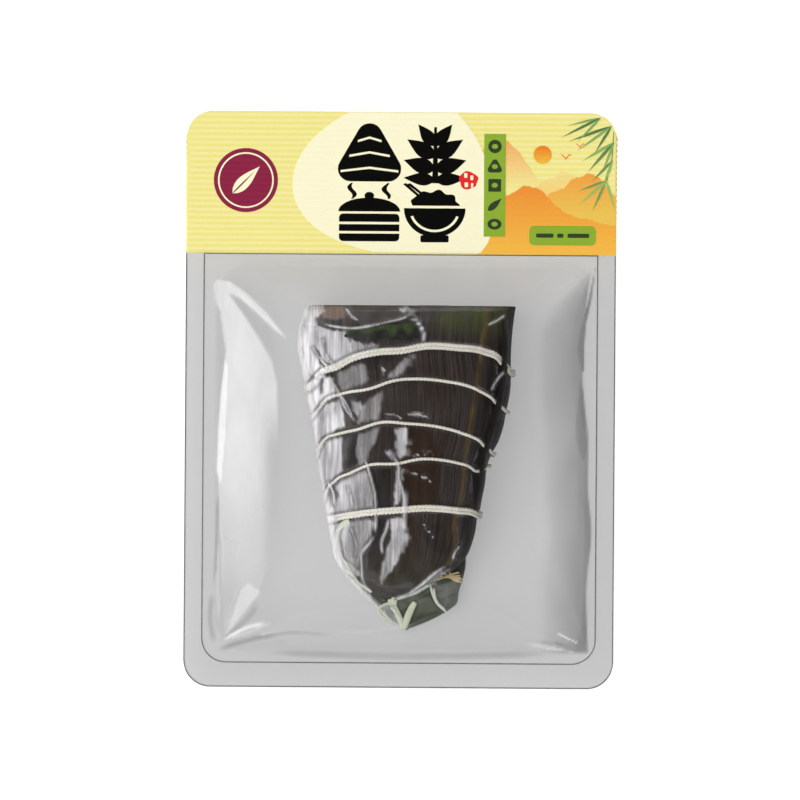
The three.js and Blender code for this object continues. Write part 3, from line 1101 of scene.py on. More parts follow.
# Furrows of the front leaf: the path, the depth and the half width.
FURROWS = [
    ([(-9, -42), (-11.5, -50), (-11.5, -56)], 0.9, 1.1),
    ([(1.5, -38), (-1, -46), (-3, -55)], 0.8, 1.3),
    ([(-12, -25), (-13, -33), (-9, -44)], 0.7, 1.2),
    ([(-17, 24), (-18, 12), (-19, -3), (-16, -16)], 0.6, 1.6),
    ([(31.5, 22), (31.5, 8), (28.5, -8), (24.5, -20), (22.5, -34)], 0.9, 1.3),
]


def leaf_relief(x, y):
    """Leaf overlaps and pinches under the strings, as height over the plain bundle."""
    relief = 0.28 * ridge(x, y, MIDRIB, 0.7, taper=0.0)
    relief = relief + 0.8 * ridge(x, y, [(-9, -50), (-6, -56), (0, -57), (6, -53)], 4.0)
    for gap, _, _ in string_gaps(x, y):
        relief = relief - 0.75 * np.exp(-(gap / 2.6) ** 2)
    for points, depth, width in FURROWS:
        relief = relief - depth * ridge(x, y, points, width)
    return relief + 0.16 * lattice_noise(x, y * 0.16, 3.2, 31) + 0.07 * lattice_noise(x, y * 0.1, 1.1, 32)


# Places of painted shade on the front leaf, almost black, each with its depth.
SHADE_PLACES = [
    ([(-15, 13.5), (-4, 17.0), (-1, 13), (-9, 9), (-14, 9.5)], 0.6),
    ([(-19, -0.6), (-8, 2.6), (-13, -2.2), (-15.5, -8)], 0.7),
    ([(-18, -11), (-12.5, -10.4), (-12.8, -19), (-15.5, -23)], 0.75),
    ([(-8.4, -9), (-2, -8.4), (-1.8, -18.5), (-7.2, -20)], 0.55),
    ([(-9.8, -21), (-2.4, -20.6), (-2.6, -32.8), (-7.0, -33.4)], 0.8),
    ([(-7.4, -37), (-3.2, -36.6), (-5.2, -46), (-6.6, -54), (-10.4, -50), (-9.2, -43)], 0.7),
    ([(7, -38), (14, -38), (15, -48), (9, -46)], 0.45),
]


def body_rows(count, head, foot, easing):
    """Places along a body from its head to its foot, closer together at its two ends."""
    part = np.linspace(0, 1, count)
    return head + (foot - head) * (part - easing * np.sin(2 * np.pi * part))


def round_angles(count):
    """Angles round a body, once, from the middle of its front."""
    return np.linspace(-1.5 * np.pi, 0.5 * np.pi, count + 1)[:-1]


def across_measure(x, z):
    """Distance round the section from its first point, so that veins run lengthwise and close up."""
    steps = np.hypot(np.diff(x, axis=1, prepend=x[:, :1]), np.diff(z, axis=1, prepend=z[:, :1]))
    run = np.cumsum(steps, axis=1)
    return run / run[:, -1:] * run[:, -1].max()


def cap_rows(y, x, z, count, depth):
    """Extra rows that close an end, shrinking evenly to its middle."""
    cx, cz = x.mean(), z.mean()
    rows = []
    for k in range(1, count + 1):
        keep = 1 - k / count
        outer = np.full_like(x, y + depth * math.sqrt(1 - keep * keep))
        rows.append(np.stack([cx + (x - cx) * keep, outer, cz + (z - cz) * keep], axis=1))
    return np.array(rows)


# Creases of the leaves folded over the broad end, as paths of x and height, with their depth and half width.
END_FOLDS = [
    ([(-29, 12), (-14, 12.5), (0, 10), (14, 11)], 1.1, 0.8),
    ([(-12, 25), (-6, 17), (0, 10), (3, 1)], 0.9, 0.8),
    ([(34, 20), (22, 15), (13, 11), (6, 3)], 1.2, 0.9),
    ([(-24, 4), (-12, 6), (0, 5), (10, 2)], 0.6, 0.6),
    ([(20, 25), (16, 19), (13, 12)], 0.6, 0.6),
]


def end_relief(x, z):
    """How deep the folded leaves of the broad end sink below its face."""
    sink = 0.25 + 0.25 * lattice_noise(x * 0.7, z * 1.3, 5, 91)
    for points, depth, width in END_FOLDS:
        sink = sink + depth * ridge(x, z, points, width, taper=0.05)
    return np.maximum(sink, 0)


def paint_leaf(piece, x, y, z):
    """Where the bundle's leaf is olive or brown, where painted shade makes it almost black, and where its
    midrib runs.
    """
    facing = (z > cubic_table(LEAF_FOOT, y) + 8) & (y < LEAF_HEAD - 0.05)
    uneven = 0.6 + 0.25 * smooth_step(y, 8, 16) + 0.4 * lattice_noise(x * 2, y, 3.5, 41)
    set_values(piece, "midrib", np.clip(ridge(x, y, MIDRIB, 0.6, taper=0.0) * facing * uneven, 0, 1))
    middle = inside_outline(x, y, [(0, -8), (9, -8), (12, -18), (12, -32), (0, -32), (1, -18)], 3.0)
    lower = inside_outline(x, y, [(0, -36), (8, -38), (6, -52), (-4, -58), (-6, -50)], 4.0)
    set_values(piece, "brown", np.maximum(0.95 * middle, 0.6 * lower) * facing)
    # Painted shade: darker down the right flank past the midrib, and in the listed shaded places.
    side = x - cubic_table([(along, across) for across, along in MIDRIB], y)
    shadows = 0.8 * smooth_step(side, 0.8, 4.0) * smooth_step(-y, -24, -10)
    shadows = np.maximum(shadows, 0.9 * smooth_step(side, 5.5, 7.5))
    for outline, depth in SHADE_PLACES:
        shadows = np.maximum(shadows, depth * inside_outline(x, y, outline, 1.6))
    shadows = shadows * (0.85 + 0.3 * lattice_noise(x, y * 0.3, 1.6, 43))
    set_values(piece, "painted_shade", np.clip(shadows, 0, 1) * facing)
    olive = 0.95 * smooth_step(y, 17, 27) * smooth_step(x, 6, 16) * facing + 0.15 * smooth_step(-y, 40, 60)
    set_values(piece, "olive", np.clip(olive * (0.7 + 0.5 * lattice_noise(x, y, 5, 42)), 0, 1))


def build_leaf_bundle(material):
    """The rice inside its wrapped leaves: one lofted body with leaf relief on its skin."""
    ys = body_rows(190, LEAF_HEAD, LEAF_POINT, 0.06)
    y, angle = np.meshgrid(ys, round_angles(300), indexing="ij")
    x, z = section_point(LEAF, LEAF_POWERS, y, angle)
    front = smooth_step(np.sin(angle), -0.15, 0.25)
    behind = 0.2 * lattice_noise(x, y * 0.16, 3.2, 33) - 0.2
    ends = smooth_step(LEAF_HEAD - y, 0, 3) * smooth_step(y - LEAF_POINT, 0, 3)
    lift = (leaf_relief(x, y) * front + (1 - front) * behind) * ends
    out_x, out_z = outward(LEAF, x, y, z)
    x, z = x + lift * out_x, np.maximum(z + lift * out_z, 0.7)
    head = cap_rows(ys[0], x[0], z[0], 44, 0.3)
    inwards = np.arange(len(head))[:, None]
    head[..., 1] -= end_relief(head[..., 0], head[..., 2]) * smooth_step(inwards, 0, 4)
    foot = cap_rows(ys[-1], x[-1], z[-1], 6, -0.8)
    grid = np.concatenate([head[::-1], np.stack([x, y, z], axis=2), foot])
    piece = add_loft("leaf_bundle", grid, material)
    head_x, head_z = head[::-1, :, 0], head[::-1, :, 2]
    slant = np.where(head_x + 0.3 * (head_z - 11) < 0, 0.35, -0.5)
    head_strip = np.stack([head_z + slant * head_x, 4 * head_x, 0 * head_x], axis=2)
    strip = np.stack([across_measure(x, z), y, 0 * y], axis=2)
    set_vectors(piece, "strip", np.concatenate([head_strip, strip] + [strip[-1:]] * len(foot)))
    paint_leaf(piece, *np.moveaxis(grid, 2, 0))
    weld_ends(piece)


def round_the_bundle(points, step, clearance):
    """A closed loop round the bundle that crosses the front along the given points."""
    (first_x, first_y), (last_x, last_y) = points[0], points[-1]
    loop = []
    for angle in np.linspace(np.pi, -np.pi, 241)[:-1]:
        y = first_y if angle > 0 else last_y
        for _ in range(6):
            x, z = section_point(LEAF, LEAF_POWERS, np.array(y), np.array(angle))
            behind = first_y + (last_y - first_y) * (x - first_x) / (last_x - first_x)
            y = float(cubic_table(points, x)) if angle >= 0 else float(behind)
        out_x, out_z = outward(LEAF, x, np.array(y), z)
        lift = clearance
        if angle > 0:
            relief = float(leaf_relief(np.array(x), np.array(y)))
            lift = clearance + relief * smooth_step(math.sin(angle), 0.0, 0.25)
        loop.append((x + lift * out_x, y, z + lift * out_z))
    path = smooth_path(loop + loop[:1], step)[:-1]
    path[:, 2] = np.maximum(path[:, 2], clearance + 0.2)
    return path


def twist_plies(path, radius, pitch, phase):
    """Two plies wound round a closed path, each a closed tube."""
    length = np.linalg.norm(np.diff(path, axis=0), axis=1).sum()
    turns = max(round(length / pitch), 1)
    along = path_directions(np.roll(path, -1, axis=0) - np.roll(path, 1, axis=0))
    side = path_directions(np.array([0.0, 1.0, 0.0]) - along * along[:, 1:2])
    up = np.cross(side, along)
    parts = []
    for ply in range(2):
        angle = 2 * np.pi * turns * np.arange(len(path)) / len(path) + phase + ply * np.pi
        offset = np.cos(angle)[:, None] * side + np.sin(angle)[:, None] * up
        parts.append(ring_tube(path + offset * radius * 0.5, radius * 0.58, 6))
    return parts


def build_strings(material):
    for number, (name, (points, radius)) in enumerate(STRINGS.items()):
        parts = []
        for shift in (-0.85, 0.85) if name in DOUBLE_STRINGS else (0.0,):
            moved = [(x, y + shift * radius) for x, y in points]
            path = round_the_bundle(moved, 0.34, radius * 0.9)
            parts += twist_plies(path, radius, 2.4, number + shift)
        add_piece(name, *join(parts), material)


SIDE_FOLD = [(32.4, 25), (32.6, 14), (31.7, 4), (29.6, -6), (27.0, -15), (25.6, -24), (24.2, -34)]
FLAP_FOOT = [(-28.2, 22.0), (-20, 22.6), (-16.5, 22.4), (-12, 22.9), (-6, 23.3), (0, 23.7), (4, 25.8)]
BAND_FOOT = [(-18, 19.5), (-12, 18.2), (-5, 18.9), (1, 18.6), (6, 19.5)]


def overlay_height(x, y):
    """How high the loose leaf folds stand over the bundle, for the film that covers them."""
    fold = 1.2 * ridge(x, y, SIDE_FOLD, 1.5, taper=0.08)
    flap = 1.5 * smooth_step(y, 21.5, 23.5) * smooth_step(-x, -5, -3) * smooth_step(x, -31, -28)
    return np.maximum(fold, flap)


def front_slab(name, upper, lower, lift, thickness, material, columns=90, rows=26, ruffle=0.25, seed=1):
    """A leaf sheet on the bundle's front, between an upper and a lower edge, lift above the skin.
    lift is read at (along, down), both from 0 to 1. Gives the piece and its points' x, y and down."""
    along, down = np.linspace(0, 1, columns), np.linspace(0, 1, rows)
    edges = [smooth_path(edge, 0.2) for edge in (upper, lower)]
    first, second = (edge[np.round(along * (len(edge) - 1)).astype(int)] for edge in edges)
    u, v = np.meshgrid(along, down)
    x, y = (first[None, :, k] * (1 - v) + second[None, :, k] * v for k in (0, 1))
    z = front_height(LEAF, LEAF_POWERS, x, y) + leaf_relief(x, y) * 0.5 + lift(u, v)
    points = np.stack([x, y, z + ruffle * lattice_noise(x, y, 2.4, seed), v], axis=2)
    if grid_normals(points[..., :3])[..., 2].mean() < 0:
        points = points[::-1]
    piece = slab(name, points[..., :3], thickness, material)
    x, y, _, v = np.concatenate([points.reshape(-1, 4)] * 2).T
    set_vectors(piece, "strip", np.stack([x, y, 0 * x], axis=1))
    return piece, x, y, v


def build_leaf_folds(leaf, flap_leaf, green):
    """The loose folds on the front: the flap at the head, the green leaf under it and the side fold."""
    head = [(-27.6, 28.9), (-14, 28.9), (2.5, 28.9)]
    flap, x, y, _ = front_slab("head_flap", head, [(x, y + 0.4) for x, y in FLAP_FOOT[:-1]],
                               lambda u, v: 0.35 + 0.8 * v + 0.45 * np.sin(9 * u) * np.sin(3 * v),
                               0.4, flap_leaf, ruffle=0.35, seed=71)
    worn = [(-24.8, 29.5), (-18, 29.5), (-17.2, 25.4), (-20, 24.6), (-24.2, 25.4)]
    set_values(flap, "brown", inside_outline(x, y, worn, 1.2))
    upper = [(-17, 21.8), (-13, 22.6), (-8, 22.3), (-3, 23.4), (2, 23.6), (6.2, 24.8)]
    band, x, _, down = front_slab("green_band", upper, BAND_FOOT,
                                  lambda u, v: 0.55 - 0.4 * v + 0.12 * np.sin(17 * u), 0.35, green, seed=72)
    # Painted shade, darker towards the band's lower edge.
    set_values(band, "painted_shade", smooth_step(down + 0.3 * lattice_noise(x, x * 0, 2.5, 74), 0.2, 0.75))
    inner, outer = ([(x + offset, y) for x, y in SIDE_FOLD] for offset in (-1.1, 0.9))
    fold, x, _, _ = front_slab("side_fold", inner, outer,
                               lambda u, v: 0.1 + 0.9 * np.sin(np.pi * (0.12 + 0.8 * v)) ** 0.7,
                               0.4, leaf, columns=160, rows=12, seed=73)
    # Painted shade over the whole side fold, down the dark right flank.
    set_values(fold, "painted_shade", np.full(x.shape, 0.75))


TIPS_HEAD, TIPS_POINT = -47, -71.4
TIPS = (
    [(-47, -18.0), (-49.5, -18.3), (-54.5, -15.6), (-58, -12.6), (-62, -9.0), (-65.1, -5.8), (-69.8, -0.6),
     (-71.4, 1.9)],
    [(-47, 20.5), (-48.6, 20.8), (-59.8, 18.8), (-64, 17.6), (-66.4, 14.2), (-69.8, 7.4), (-71.4, 3.2)],
    [(-47, 14.5), (-54, 12.6), (-58, 11.6), (-62, 10.6), (-66, 8.8), (-70, 7.0), (-71.4, 5.8)],
    [(-47, 4.0), (-57, 2.2), (-64, 2.8), (-70, 4.0), (-71.4, 5.2)],
)
TIPS_POWERS = (2.4, 2.4, 2.4)
# Creases between the folded tips, darkened with painted shade: the path and the half width.
TIP_CREASES = [
    ([(-12, -52), (-8, -60), (-4, -66)], 1.1),
    ([(9.5, -57), (10.4, -61.6), (14, -66)], 0.7),
    ([(2, -60.6), (7, -59), (12, -57)], 0.9),
    ([(3.5, -69), (9, -67), (13, -66)], 0.6),
]


def build_leaf_tips(material):
    """The folded leaf tips under the knot: a flattened body whose folds run to the point."""
    ys = body_rows(80, TIPS_HEAD, TIPS_POINT, 0)
    y, angle = np.meshgrid(ys, round_angles(180), indexing="ij")
    x, z = section_point(TIPS, TIPS_POWERS, y, angle)
    cx, half, _, _ = station(TIPS, y)
    u = (x - cx) / half
    folds = 0.9 * np.abs(np.sin(3.4 * (u + 0.15))) ** 0.5 + 0.35 * np.sin(13 * u + 0.1 * y)
    z = z + (folds - 0.6) * smooth_step(np.sin(angle), 0, 0.5) * smooth_step(y - TIPS_POINT, 0, 5)
    head = cap_rows(ys[0], x[0], z[0], 4, 0.5)
    foot = cap_rows(ys[-1], x[-1], z[-1], 3, -0.4)
    grid = np.concatenate([head[::-1], np.stack([x, y, z], axis=2), foot])
    piece = add_loft("leaf_tips", grid, material)
    x, y, _ = np.moveaxis(grid, 2, 0)
    right = smooth_step(x - 0.35 * (y + 62), -1.5, 0.5)
    across = right * (0.94 * y - 0.34 * x) + (1 - right) * (0.75 * x + 0.66 * y)
    set_vectors(piece, "strip", np.stack([across, 0.94 * x + 0.34 * y, 0 * x], axis=2))
    # Painted shade where the tips run in under the bundle, and along their creases.
    painted_shade = 0.75 * smooth_step(y, -58, -52)
    for points, width in TIP_CREASES:
        painted_shade = np.maximum(painted_shade, 0.7 * ridge(x, y, points, width, taper=0.1))
    set_values(piece, "painted_shade", painted_shade)
    weld_ends(piece)


def weld_ends(piece):
    """Joins the points that meet at the middle of a closed end."""
    bm = bmesh.new()
    bm.from_mesh(piece.data)
    bmesh.ops.remove_doubles(bm, verts=bm.verts[:], dist=1e-6)
    bm.to_mesh(piece.data)
    bm.free()


def tie_strip(points, width, squash=0.35, lift=0.3):
    """A flattened strip of leaf fibre lying on the leaf tips, tapered at its ends."""
    path = smooth_path(points, 0.35)
    x, y = path[:, 0], path[:, 1]
    z = lift + np.maximum(front_height(TIPS, TIPS_POWERS, x, y), front_height(LEAF, LEAF_POWERS, x, y))
    part = np.linspace(0, 1, len(path))
    radii = width * (0.35 + 0.65 * np.sin(np.pi * (0.08 + 0.84 * part)) ** 0.6)
    return tube(np.stack([x, y, z], axis=1), radii, 10, squash=squash)


KNOT = (-1.9, -62.9)
KNOT_ENDS = [
    ([KNOT, (-0.6, -65.9), (0.6, -68.6), (1.5, -71)], 1.0),
    ([(5.1, -62.9), (3.9, -65.2), (2.8, -67.8), (1.7, -71.2)], 1.15),
    ([KNOT, (-4.6, -63.9), (-6.3, -65.2), (-5.5, -67), (-1, -69.8)], 0.45),
    ([KNOT, (1, -61.4), (4.5, -60.2), (9, -57.4)], 0.4),
    ([(9.8, -57.6), (10.6, -60.4), (12, -63.2), (14.9, -66)], 0.4),
    ([(-14, -56.2), (-9.5, -61.2), (-5, -66)], 0.4),
]


def build_ties(material):
    """The pale knot with its ends, and the strip up the left side."""
    x, y = KNOT
    loops = []
    for turn, reach in ((20, 1.5), (80, 1.3), (150, 1.5)):
        dx, dy = reach * math.cos(math.radians(turn)), reach * math.sin(math.radians(turn))
        loops.append(tie_strip([(x - dx, y - dy), KNOT, (x + dx, y + dy)], 0.75, 0.8, 1.2))
    loops += [tie_strip(points, width, lift=0.9) for points, width in KNOT_ENDS]
    side = [(-15.4, -37.6), (-17.2, -38.4), (-18.5, -39.8), (-19.2, -43.2), (-18.3, -47.4), (-16.4, -51.4),
            (-12.8, -56.4), (-8.5, -59.8)]
    loops.append(tie_strip(side, 1.15, 0.3, 0.5))
    add_piece("leaf_ties", *join(loops), material)


def build_stalks(material):
    """A spray of straw stalks at the right, above the leaf tips."""
    stalks = []
    for k in range(9):
        sway = 0.9 * math.sin(2.4 * k)
        start = (11.0 + 0.55 * k + sway, -56.4 + 0.35 * k + 0.5 * math.cos(1.7 * k))
        middle = (14.5 + 0.3 * k, -54.6 + 0.45 * math.sin(3.1 * k) - 0.12 * k)
        end = (18.6 + 0.2 * k, -53.4 - 0.42 * k + 0.4 * sway)
        stalks.append(tie_strip([start, middle, end], 0.2 + 0.06 * (k % 3), 0.8, 0.5))
    add_piece("straw_stalks", *join(stalks), material)


# ---------------------------------------------------------------- the inner vacuum film

FILM_HEAD, FILM_POINT = 29.6, -72
FILM = (
    [(29.6, -29.4), (23, -31.4), (16.2, -32.0), (7.5, -30.2), (-6.2, -27.4), (-23, -24.8), (-36.8, -22.2),
     (-49.5, -19.6), (-54.5, -16.9), (-58, -13.8), (-62, -10.2), (-65.1, -6.8), (-69.8, -1.6), (-72, 1.6)],
    [(29.6, 36.6), (24, 36.0), (16.5, 35.4), (6, 35.3), (-3, 34.1), (-12.5, 31.6), (-19, 28.8), (-27, 27.2),
     (-37.4, 24.8), (-48.6, 22.0), (-59.8, 20.0), (-64, 19.0), (-66.4, 15.6), (-69.8, 8.6), (-72, 3.4)],
    [(29.6, 25.0), (27, 27.6), (25, 29.2), (20, 32.3), (10, 35.9), (0, 37.3), (-20, 35.5), (-40, 29.7),
     (-50, 25.2), (-58, 19.6), (-62, 14.8), (-66, 11.0), (-70, 8.4), (-72, 6.2)],
    [(29.6, 4.6), (25, 2.6), (20, 1.4), (10, 0.8), (-50, 0.8), (-57, 1.2), (-64, 2.2), (-70, 3.6),
     (-72, 5.0)],
)

# Ridges where the film pinches up: the path, the height and the half width.
VACUUM_RIDGES = [
    ([(-11, -17.3), (-9.9, -20.5), (-8.5, -25.1), (-7.4, -30.1), (-7.2, -37.3), (-7.4, -41.6)], 1.0, 0.5),
    ([(-7.4, -41.6), (-9.2, -44.4), (-11.4, -47.3), (-11.5, -51.6), (-10.7, -57.3), (-7.8, -60.2)], 0.9, 0.5),
    ([(-3.5, -15.8), (-0.6, -19.4), (0.1, -25.1), (1.1, -28), (1.5, -34.4), (1.5, -40.2),
      (2.6, -43)], 1.1, 0.5),
    ([(-3.1, -36.2), (-3.9, -40.2), (-5.3, -43.7), (-5.0, -48)], 0.8, 0.45),
    ([(-21, 6), (-18.9, 2.1), (-16.7, -2.9), (-13.5, -6.9)], 0.9, 0.45),
    ([(-18.4, 1.6), (-16, -2.4), (-14.4, -6)], 0.7, 0.35),
    ([(-24, 20), (-23, 14), (-19, 9)], 0.7, 0.5),
    ([(-27.5, 17), (-24.6, 12.4), (-22, 9.6)], 0.7, 0.4),
    ([(4.4, 28.6), (2.9, 26.4), (0.1, 25), (-2.8, 24.3), (-10.7, 22.5), (-13.5, 22.1), (-20, 22.5),
      (-25, 23.5)], 0.9, 0.45),
    ([(2.9, 26.4), (5.8, 23.5), (7.1, 20.7), (6.9, 17.4)], 1.1, 0.75),
    ([(-17.1, 28.6), (-15, 25.7), (-12.8, 24.3)], 0.8, 0.4),
    ([(26.6, 23.2), (29.1, 24.3), (32.6, 26.6)], 0.8, 0.45),
    ([(28, 2.8), (29.4, 5.7), (32.3, 9.2)], 0.6, 0.35),
    ([(16.5, -49.5), (17.4, -47), (19, -44.8)], 0.6, 0.35),
    ([(-2.8, -62.3), (2.9, -60.2), (7.9, -56.6), (11.5, -53.4), (15.1, -50.9)], 0.9, 0.45),
    ([(-1.4, -62.4), (5.8, -59.7), (9.4, -57.5), (12.5, -56.4)], 0.7, 0.35),
    ([(4.2, -59.5), (8.8, -55.6), (10.6, -53.8)], 0.6, 0.3),
    ([(10.8, -57.4), (11.5, -61.6), (15.1, -65.9)], 1.0, 0.5),
    ([(-17, -38), (-19, -41), (-19.3, -47), (-17, -52), (-13, -56)], 0.9, 0.8),
    ([(-3, -64), (0.6, -68), (3.4, -71)], 1.0, 0.8),
    ([(-22.8, -24.5), (-20.6, -28.5), (-20, -33.5)], 0.6, 0.4),
    ([(-16.4, -26), (-15, -30), (-14.6, -34)], 0.6, 0.4),
    ([(-15.2, -39), (-13.4, -44), (-13.6, -49.5)], 0.6, 0.4),
]
# Rows of tiny painted highlights, dotted like bubbles of broth under the film.
BUBBLE_GLINT_ROWS = [
    [(-5.6, -5.3), (-3.5, -4.7), (-1.4, -5.1), (0.8, -5.4)],
    [(2.4, -5.0), (4.2, -4.4), (6.4, -4.4), (8.9, -5.3)],
    [(1.5, -17.3), (4.4, -16.9), (8.7, -16.2), (12.2, -16.2)],
    [(7.2, -37), (8.8, -39.8), (11.2, -43)],
    [(3.4, -23.2), (5.2, -22.4), (6, -23.4)],
    [(6.4, -24.4), (8.2, -23.4), (9.8, -25.6)],
    [(-6, 10.8), (-4.8, 8.6), (-4.4, 7.4)],
]
# Patches of painted glare on the film, each with its strength.
GLARE_FACETS = [
    ([(-30.8, 16.7), (-29.8, 21.8), (-26.4, 22.8), (-17.5, 21.0), (-15.0, 17.1), (-15.3, 12.8), (-20.0, 10.3),
      (-26.8, 6.7), (-28.2, 7.1), (-30.0, 12.8)], 0.75),
    ([(-15.5, 18.9), (-12.8, 17.5), (-7.1, 17.1), (-6.4, 15.5), (-10.7, 13.9), (-15.3, 12.5)], 0.35),
    ([(-27.1, 5.8), (-23.5, 7.4), (-21.0, 6.7), (-19.6, 3.5), (-18.9, 1.7), (-23.5, -0.8), (-25.8, -3.3),
      (-26.8, 0.6)], 0.68),
    ([(-19.6, 8.4), (-12.8, 11.0), (-10.7, 10.7), (-9.6, 6.0), (-17.5, 2.9), (-19.3, 4.2)], 0.2),
    ([(-2.8, 8.2), (0.1, 11.4), (4.7, 14.8), (3.7, 12.5), (0.8, 8.7), (-1.7, 6.6), (-3.5, 6.6)], 0.3),
    ([(-25.8, -4.9), (-23.5, -1.6), (-18.2, 0.3), (-17.4, -4.4), (-17.0, -7.8), (-20.7, -10.2),
      (-24.3, -12.4), (-25.5, -10.1)], 0.6),
    ([(-5.5, 2.6), (-5.8, -2.9), (-6.7, -5.9), (-13.0, -7.2), (-12.1, -2.9), (-9.2, 0.6)], 0.28),
    ([(-14.8, -0.2), (-12.1, -0.8), (-11.4, -2.4), (-13.4, -5.2), (-14.5, -3.7)], 0.42),
    ([(-25.0, -15.1), (-22.8, -12.4), (-17.8, -11.5), (-17.5, -15.8), (-18.1, -22.4), (-20.7, -25.3), (-23.5,
      -26.7), (-24.6, -20.1)], 0.55),
    ([(-12.8, -11.0), (-6.7, -8.1), (-7.1, -12.4), (-9.6, -16.0), (-9.6, -18.8), (-12.1, -20.7), (-13.5,
      -16.0)], 0.26),
    ([(-1.2, -8.7), (2.6, -8.7), (1.9, -17.0), (0.2, -17.7), (-1.0, -16.0)], 0.46),
    ([(-4.4, -16.0), (-2.4, -15.4), (-0.4, -18.1), (-2.8, -18.5)], 0.34),
    ([(-22.8, -29.1), (-20.0, -26.0), (-15.0, -23.1), (-10.4, -22.0), (-8.9, -27.3), (-7.8, -33.0), (-12.8,
      -34.6), (-20.0, -36.2), (-22.0, -34.6)], 0.46),
    ([(-0.6, -21.0), (1.3, -20.8), (0.8, -26.6), (-0.1, -32.4), (-1.7, -32.7), (-1.2, -26.6)], 0.5),
    ([(-18.9, -40.3), (-16.4, -38.1), (-10.7, -36.9), (-7.8, -37.4), (-8.7, -41.7), (-11.4, -46.7), (-12.5,
      -52.0), (-15.7, -50.9), (-17.5, -46.6)], 0.42),
    ([(-2.6, -36.4), (1.5, -36.4), (2.9, -43.0), (1.5, -46.0), (-0.6, -50.3), (-3.4, -53.9), (-5.3, -56.8),
      (-5.8, -53.9), (-4.2, -48.0), (-2.2, -43.0)], 0.5),
    ([(-21.5, -37.3), (-19.6, -37.9), (-19.1, -40.3), (-19.8, -43.9), (-17.7, -49.3), (-12.8, -52.5), (-11.4,
      -55.3), (-13.7, -54.6), (-18.2, -50.5), (-20.8, -43.9)], 0.6),
    ([(-28.6, 29.3), (-24.1, 29.0), (-23.5, 27.0), (-26.3, 25.0), (-25.5, 22.5), (-29.8, 21.5),
      (-31.1, 16.7)], 0.75),
    ([(-0.3, 28.6), (4.4, 28.6), (3.7, 26.8), (0.1, 27.3)], 0.5),
    ([(-6.0, -64.1), (-2.8, -63.1), (0.1, -69.5), (0.8, -71.3), (-2.8, -68.1)], 0.45),
    ([(11.5, -58.0), (20.1, -54.5), (19.0, -64.5), (15.1, -65.6), (12.2, -61.6)], 0.10),
    ([(5.8, -58.0), (10.5, -53.4), (15.8, -52.0), (11.5, -55.9), (5.8, -60.2), (0.1, -62.0)], 0.35),
]
# Narrow gaps in that painted glare, where the film touches the leaf again.
CLEAR_SLITS = [
    [(-27.3, 16.5), (-25.3, 15.5), (-24.1, 13.4), (-25.7, 13.9)],
    [(-25.5, 12.7), (-23.5, 12.1), (-21.3, 9.8), (-22.5, 9.4), (-25.0, 10.7)],
    [(-25.0, 5.9), (-23.7, 6.7), (-23.8, 1.9), (-24.5, 1.2)],
    [(-17.4, 0.6), (-14.8, 0.6), (-15.5, -5.8), (-15.0, -8.4), (-16.8, -7.9)],
    [(-17.7, -11.7), (-13.1, -11.2), (-13.4, -18.7), (-15.5, -22.3), (-17.4, -20.8)],
    [(-15.5, 1.7), (-9.6, 2.1), (-12.8, -1.5), (-15.0, -0.1)],
    [(-21.4, -26.6), (-20.0, -25.8), (-18.9, -30.1), (-20.0, -33.0)],
]


def vacuum_film_grid():
    """Points of the shrunk inner bag: it lies on the leaf, covers each string and pinches up."""
    ys = body_rows(230, FILM_HEAD, FILM_POINT, 0.05)
    y, angle = np.meshgrid(ys, round_angles(360), indexing="ij")
    x, z = section_point(FILM, LEAF_POWERS, y, angle)
    upward = np.sin(angle)
    front = smooth_step(upward, 0.0, 0.3)
    covered = np.maximum(string_height(x, y), overlay_height(x, y))
    ridges = np.max([height * ridge(x, y, points, width) for points, height, width in VACUUM_RIDGES], axis=0)
    relief = np.clip(leaf_relief(x, y), -0.6, 1.2) * smooth_step(y, -63, -58)
    wrinkles = 0.16 * lattice_noise(x, y * 0.3, 2.2, 51) + 0.09 * lattice_noise(x * 0.6, y, 1.6, 52)
    near_left = smooth_step(-np.abs(x + 24), -9, -3)
    lift = (covered + ridges + relief + 0.22 + wrinkles * (0.8 + 0.8 * near_left)) * front
    lift = lift + (1 - front) * (0.25 + 0.2 * lattice_noise(x, y * 0.4, 2.6, 53))
    lift = lift * smooth_step(FILM_HEAD - y, 0, 2) * smooth_step(y - FILM_POINT, 0, 2)
    out_x, out_z = outward(FILM, x, y, z)
    x, z = x + lift * out_x, np.maximum(z + lift * out_z, 0.35)
    over_leaf = front_height(LEAF, LEAF_POWERS, x, y) + leaf_relief(x, y) + 0.35
    z = np.where((upward > 0.1) & (y < 28) & (y > -61.5), np.maximum(z, over_leaf), z)
    head = cap_rows(ys[0], x[0], z[0], 8, 0.25)
    foot = cap_rows(ys[-1], x[-1], z[-1], 5, -0.6)
    return np.concatenate([head[::-1], np.stack([x, y, z], axis=2), foot])


def painted_glare_places(x, y, from_left):
    """Painted glare on the inner film: a white rim down its left edge, and patches."""
    rim = 2.6 + 0.7 * lattice_noise(x * 0, y, 5, 65) - from_left
    # Painted glare: a white rim down the film's left edge.
    haze_and_painted_light = np.maximum(0.85 * smooth_step(rim, -1.6, 1.6), 0.97 * smooth_step(-from_left, -1.8, -0.5))
    frayed_x = x + 0.35 * lattice_noise(x, y, 1.1, 66)
    frayed_y = y + 0.55 * lattice_noise(x * 1.6, y * 0.5, 1.2, 67)
    for outline, strength in GLARE_FACETS:
        haze_and_painted_light = np.maximum(haze_and_painted_light, strength * inside_outline(frayed_x, frayed_y, outline, 1.1))
    for outline in CLEAR_SLITS:
        haze_and_painted_light = haze_and_painted_light * (1 - 0.9 * inside_outline(frayed_x, frayed_y, outline, 0.8))
    patches = 0.92 + 0.35 * lattice_noise(x, y * 0.25, 2.4, 61)
    return haze_and_painted_light * patches * (1 + 0.25 * lattice_noise(x, y * 0.12, 0.9, 64))


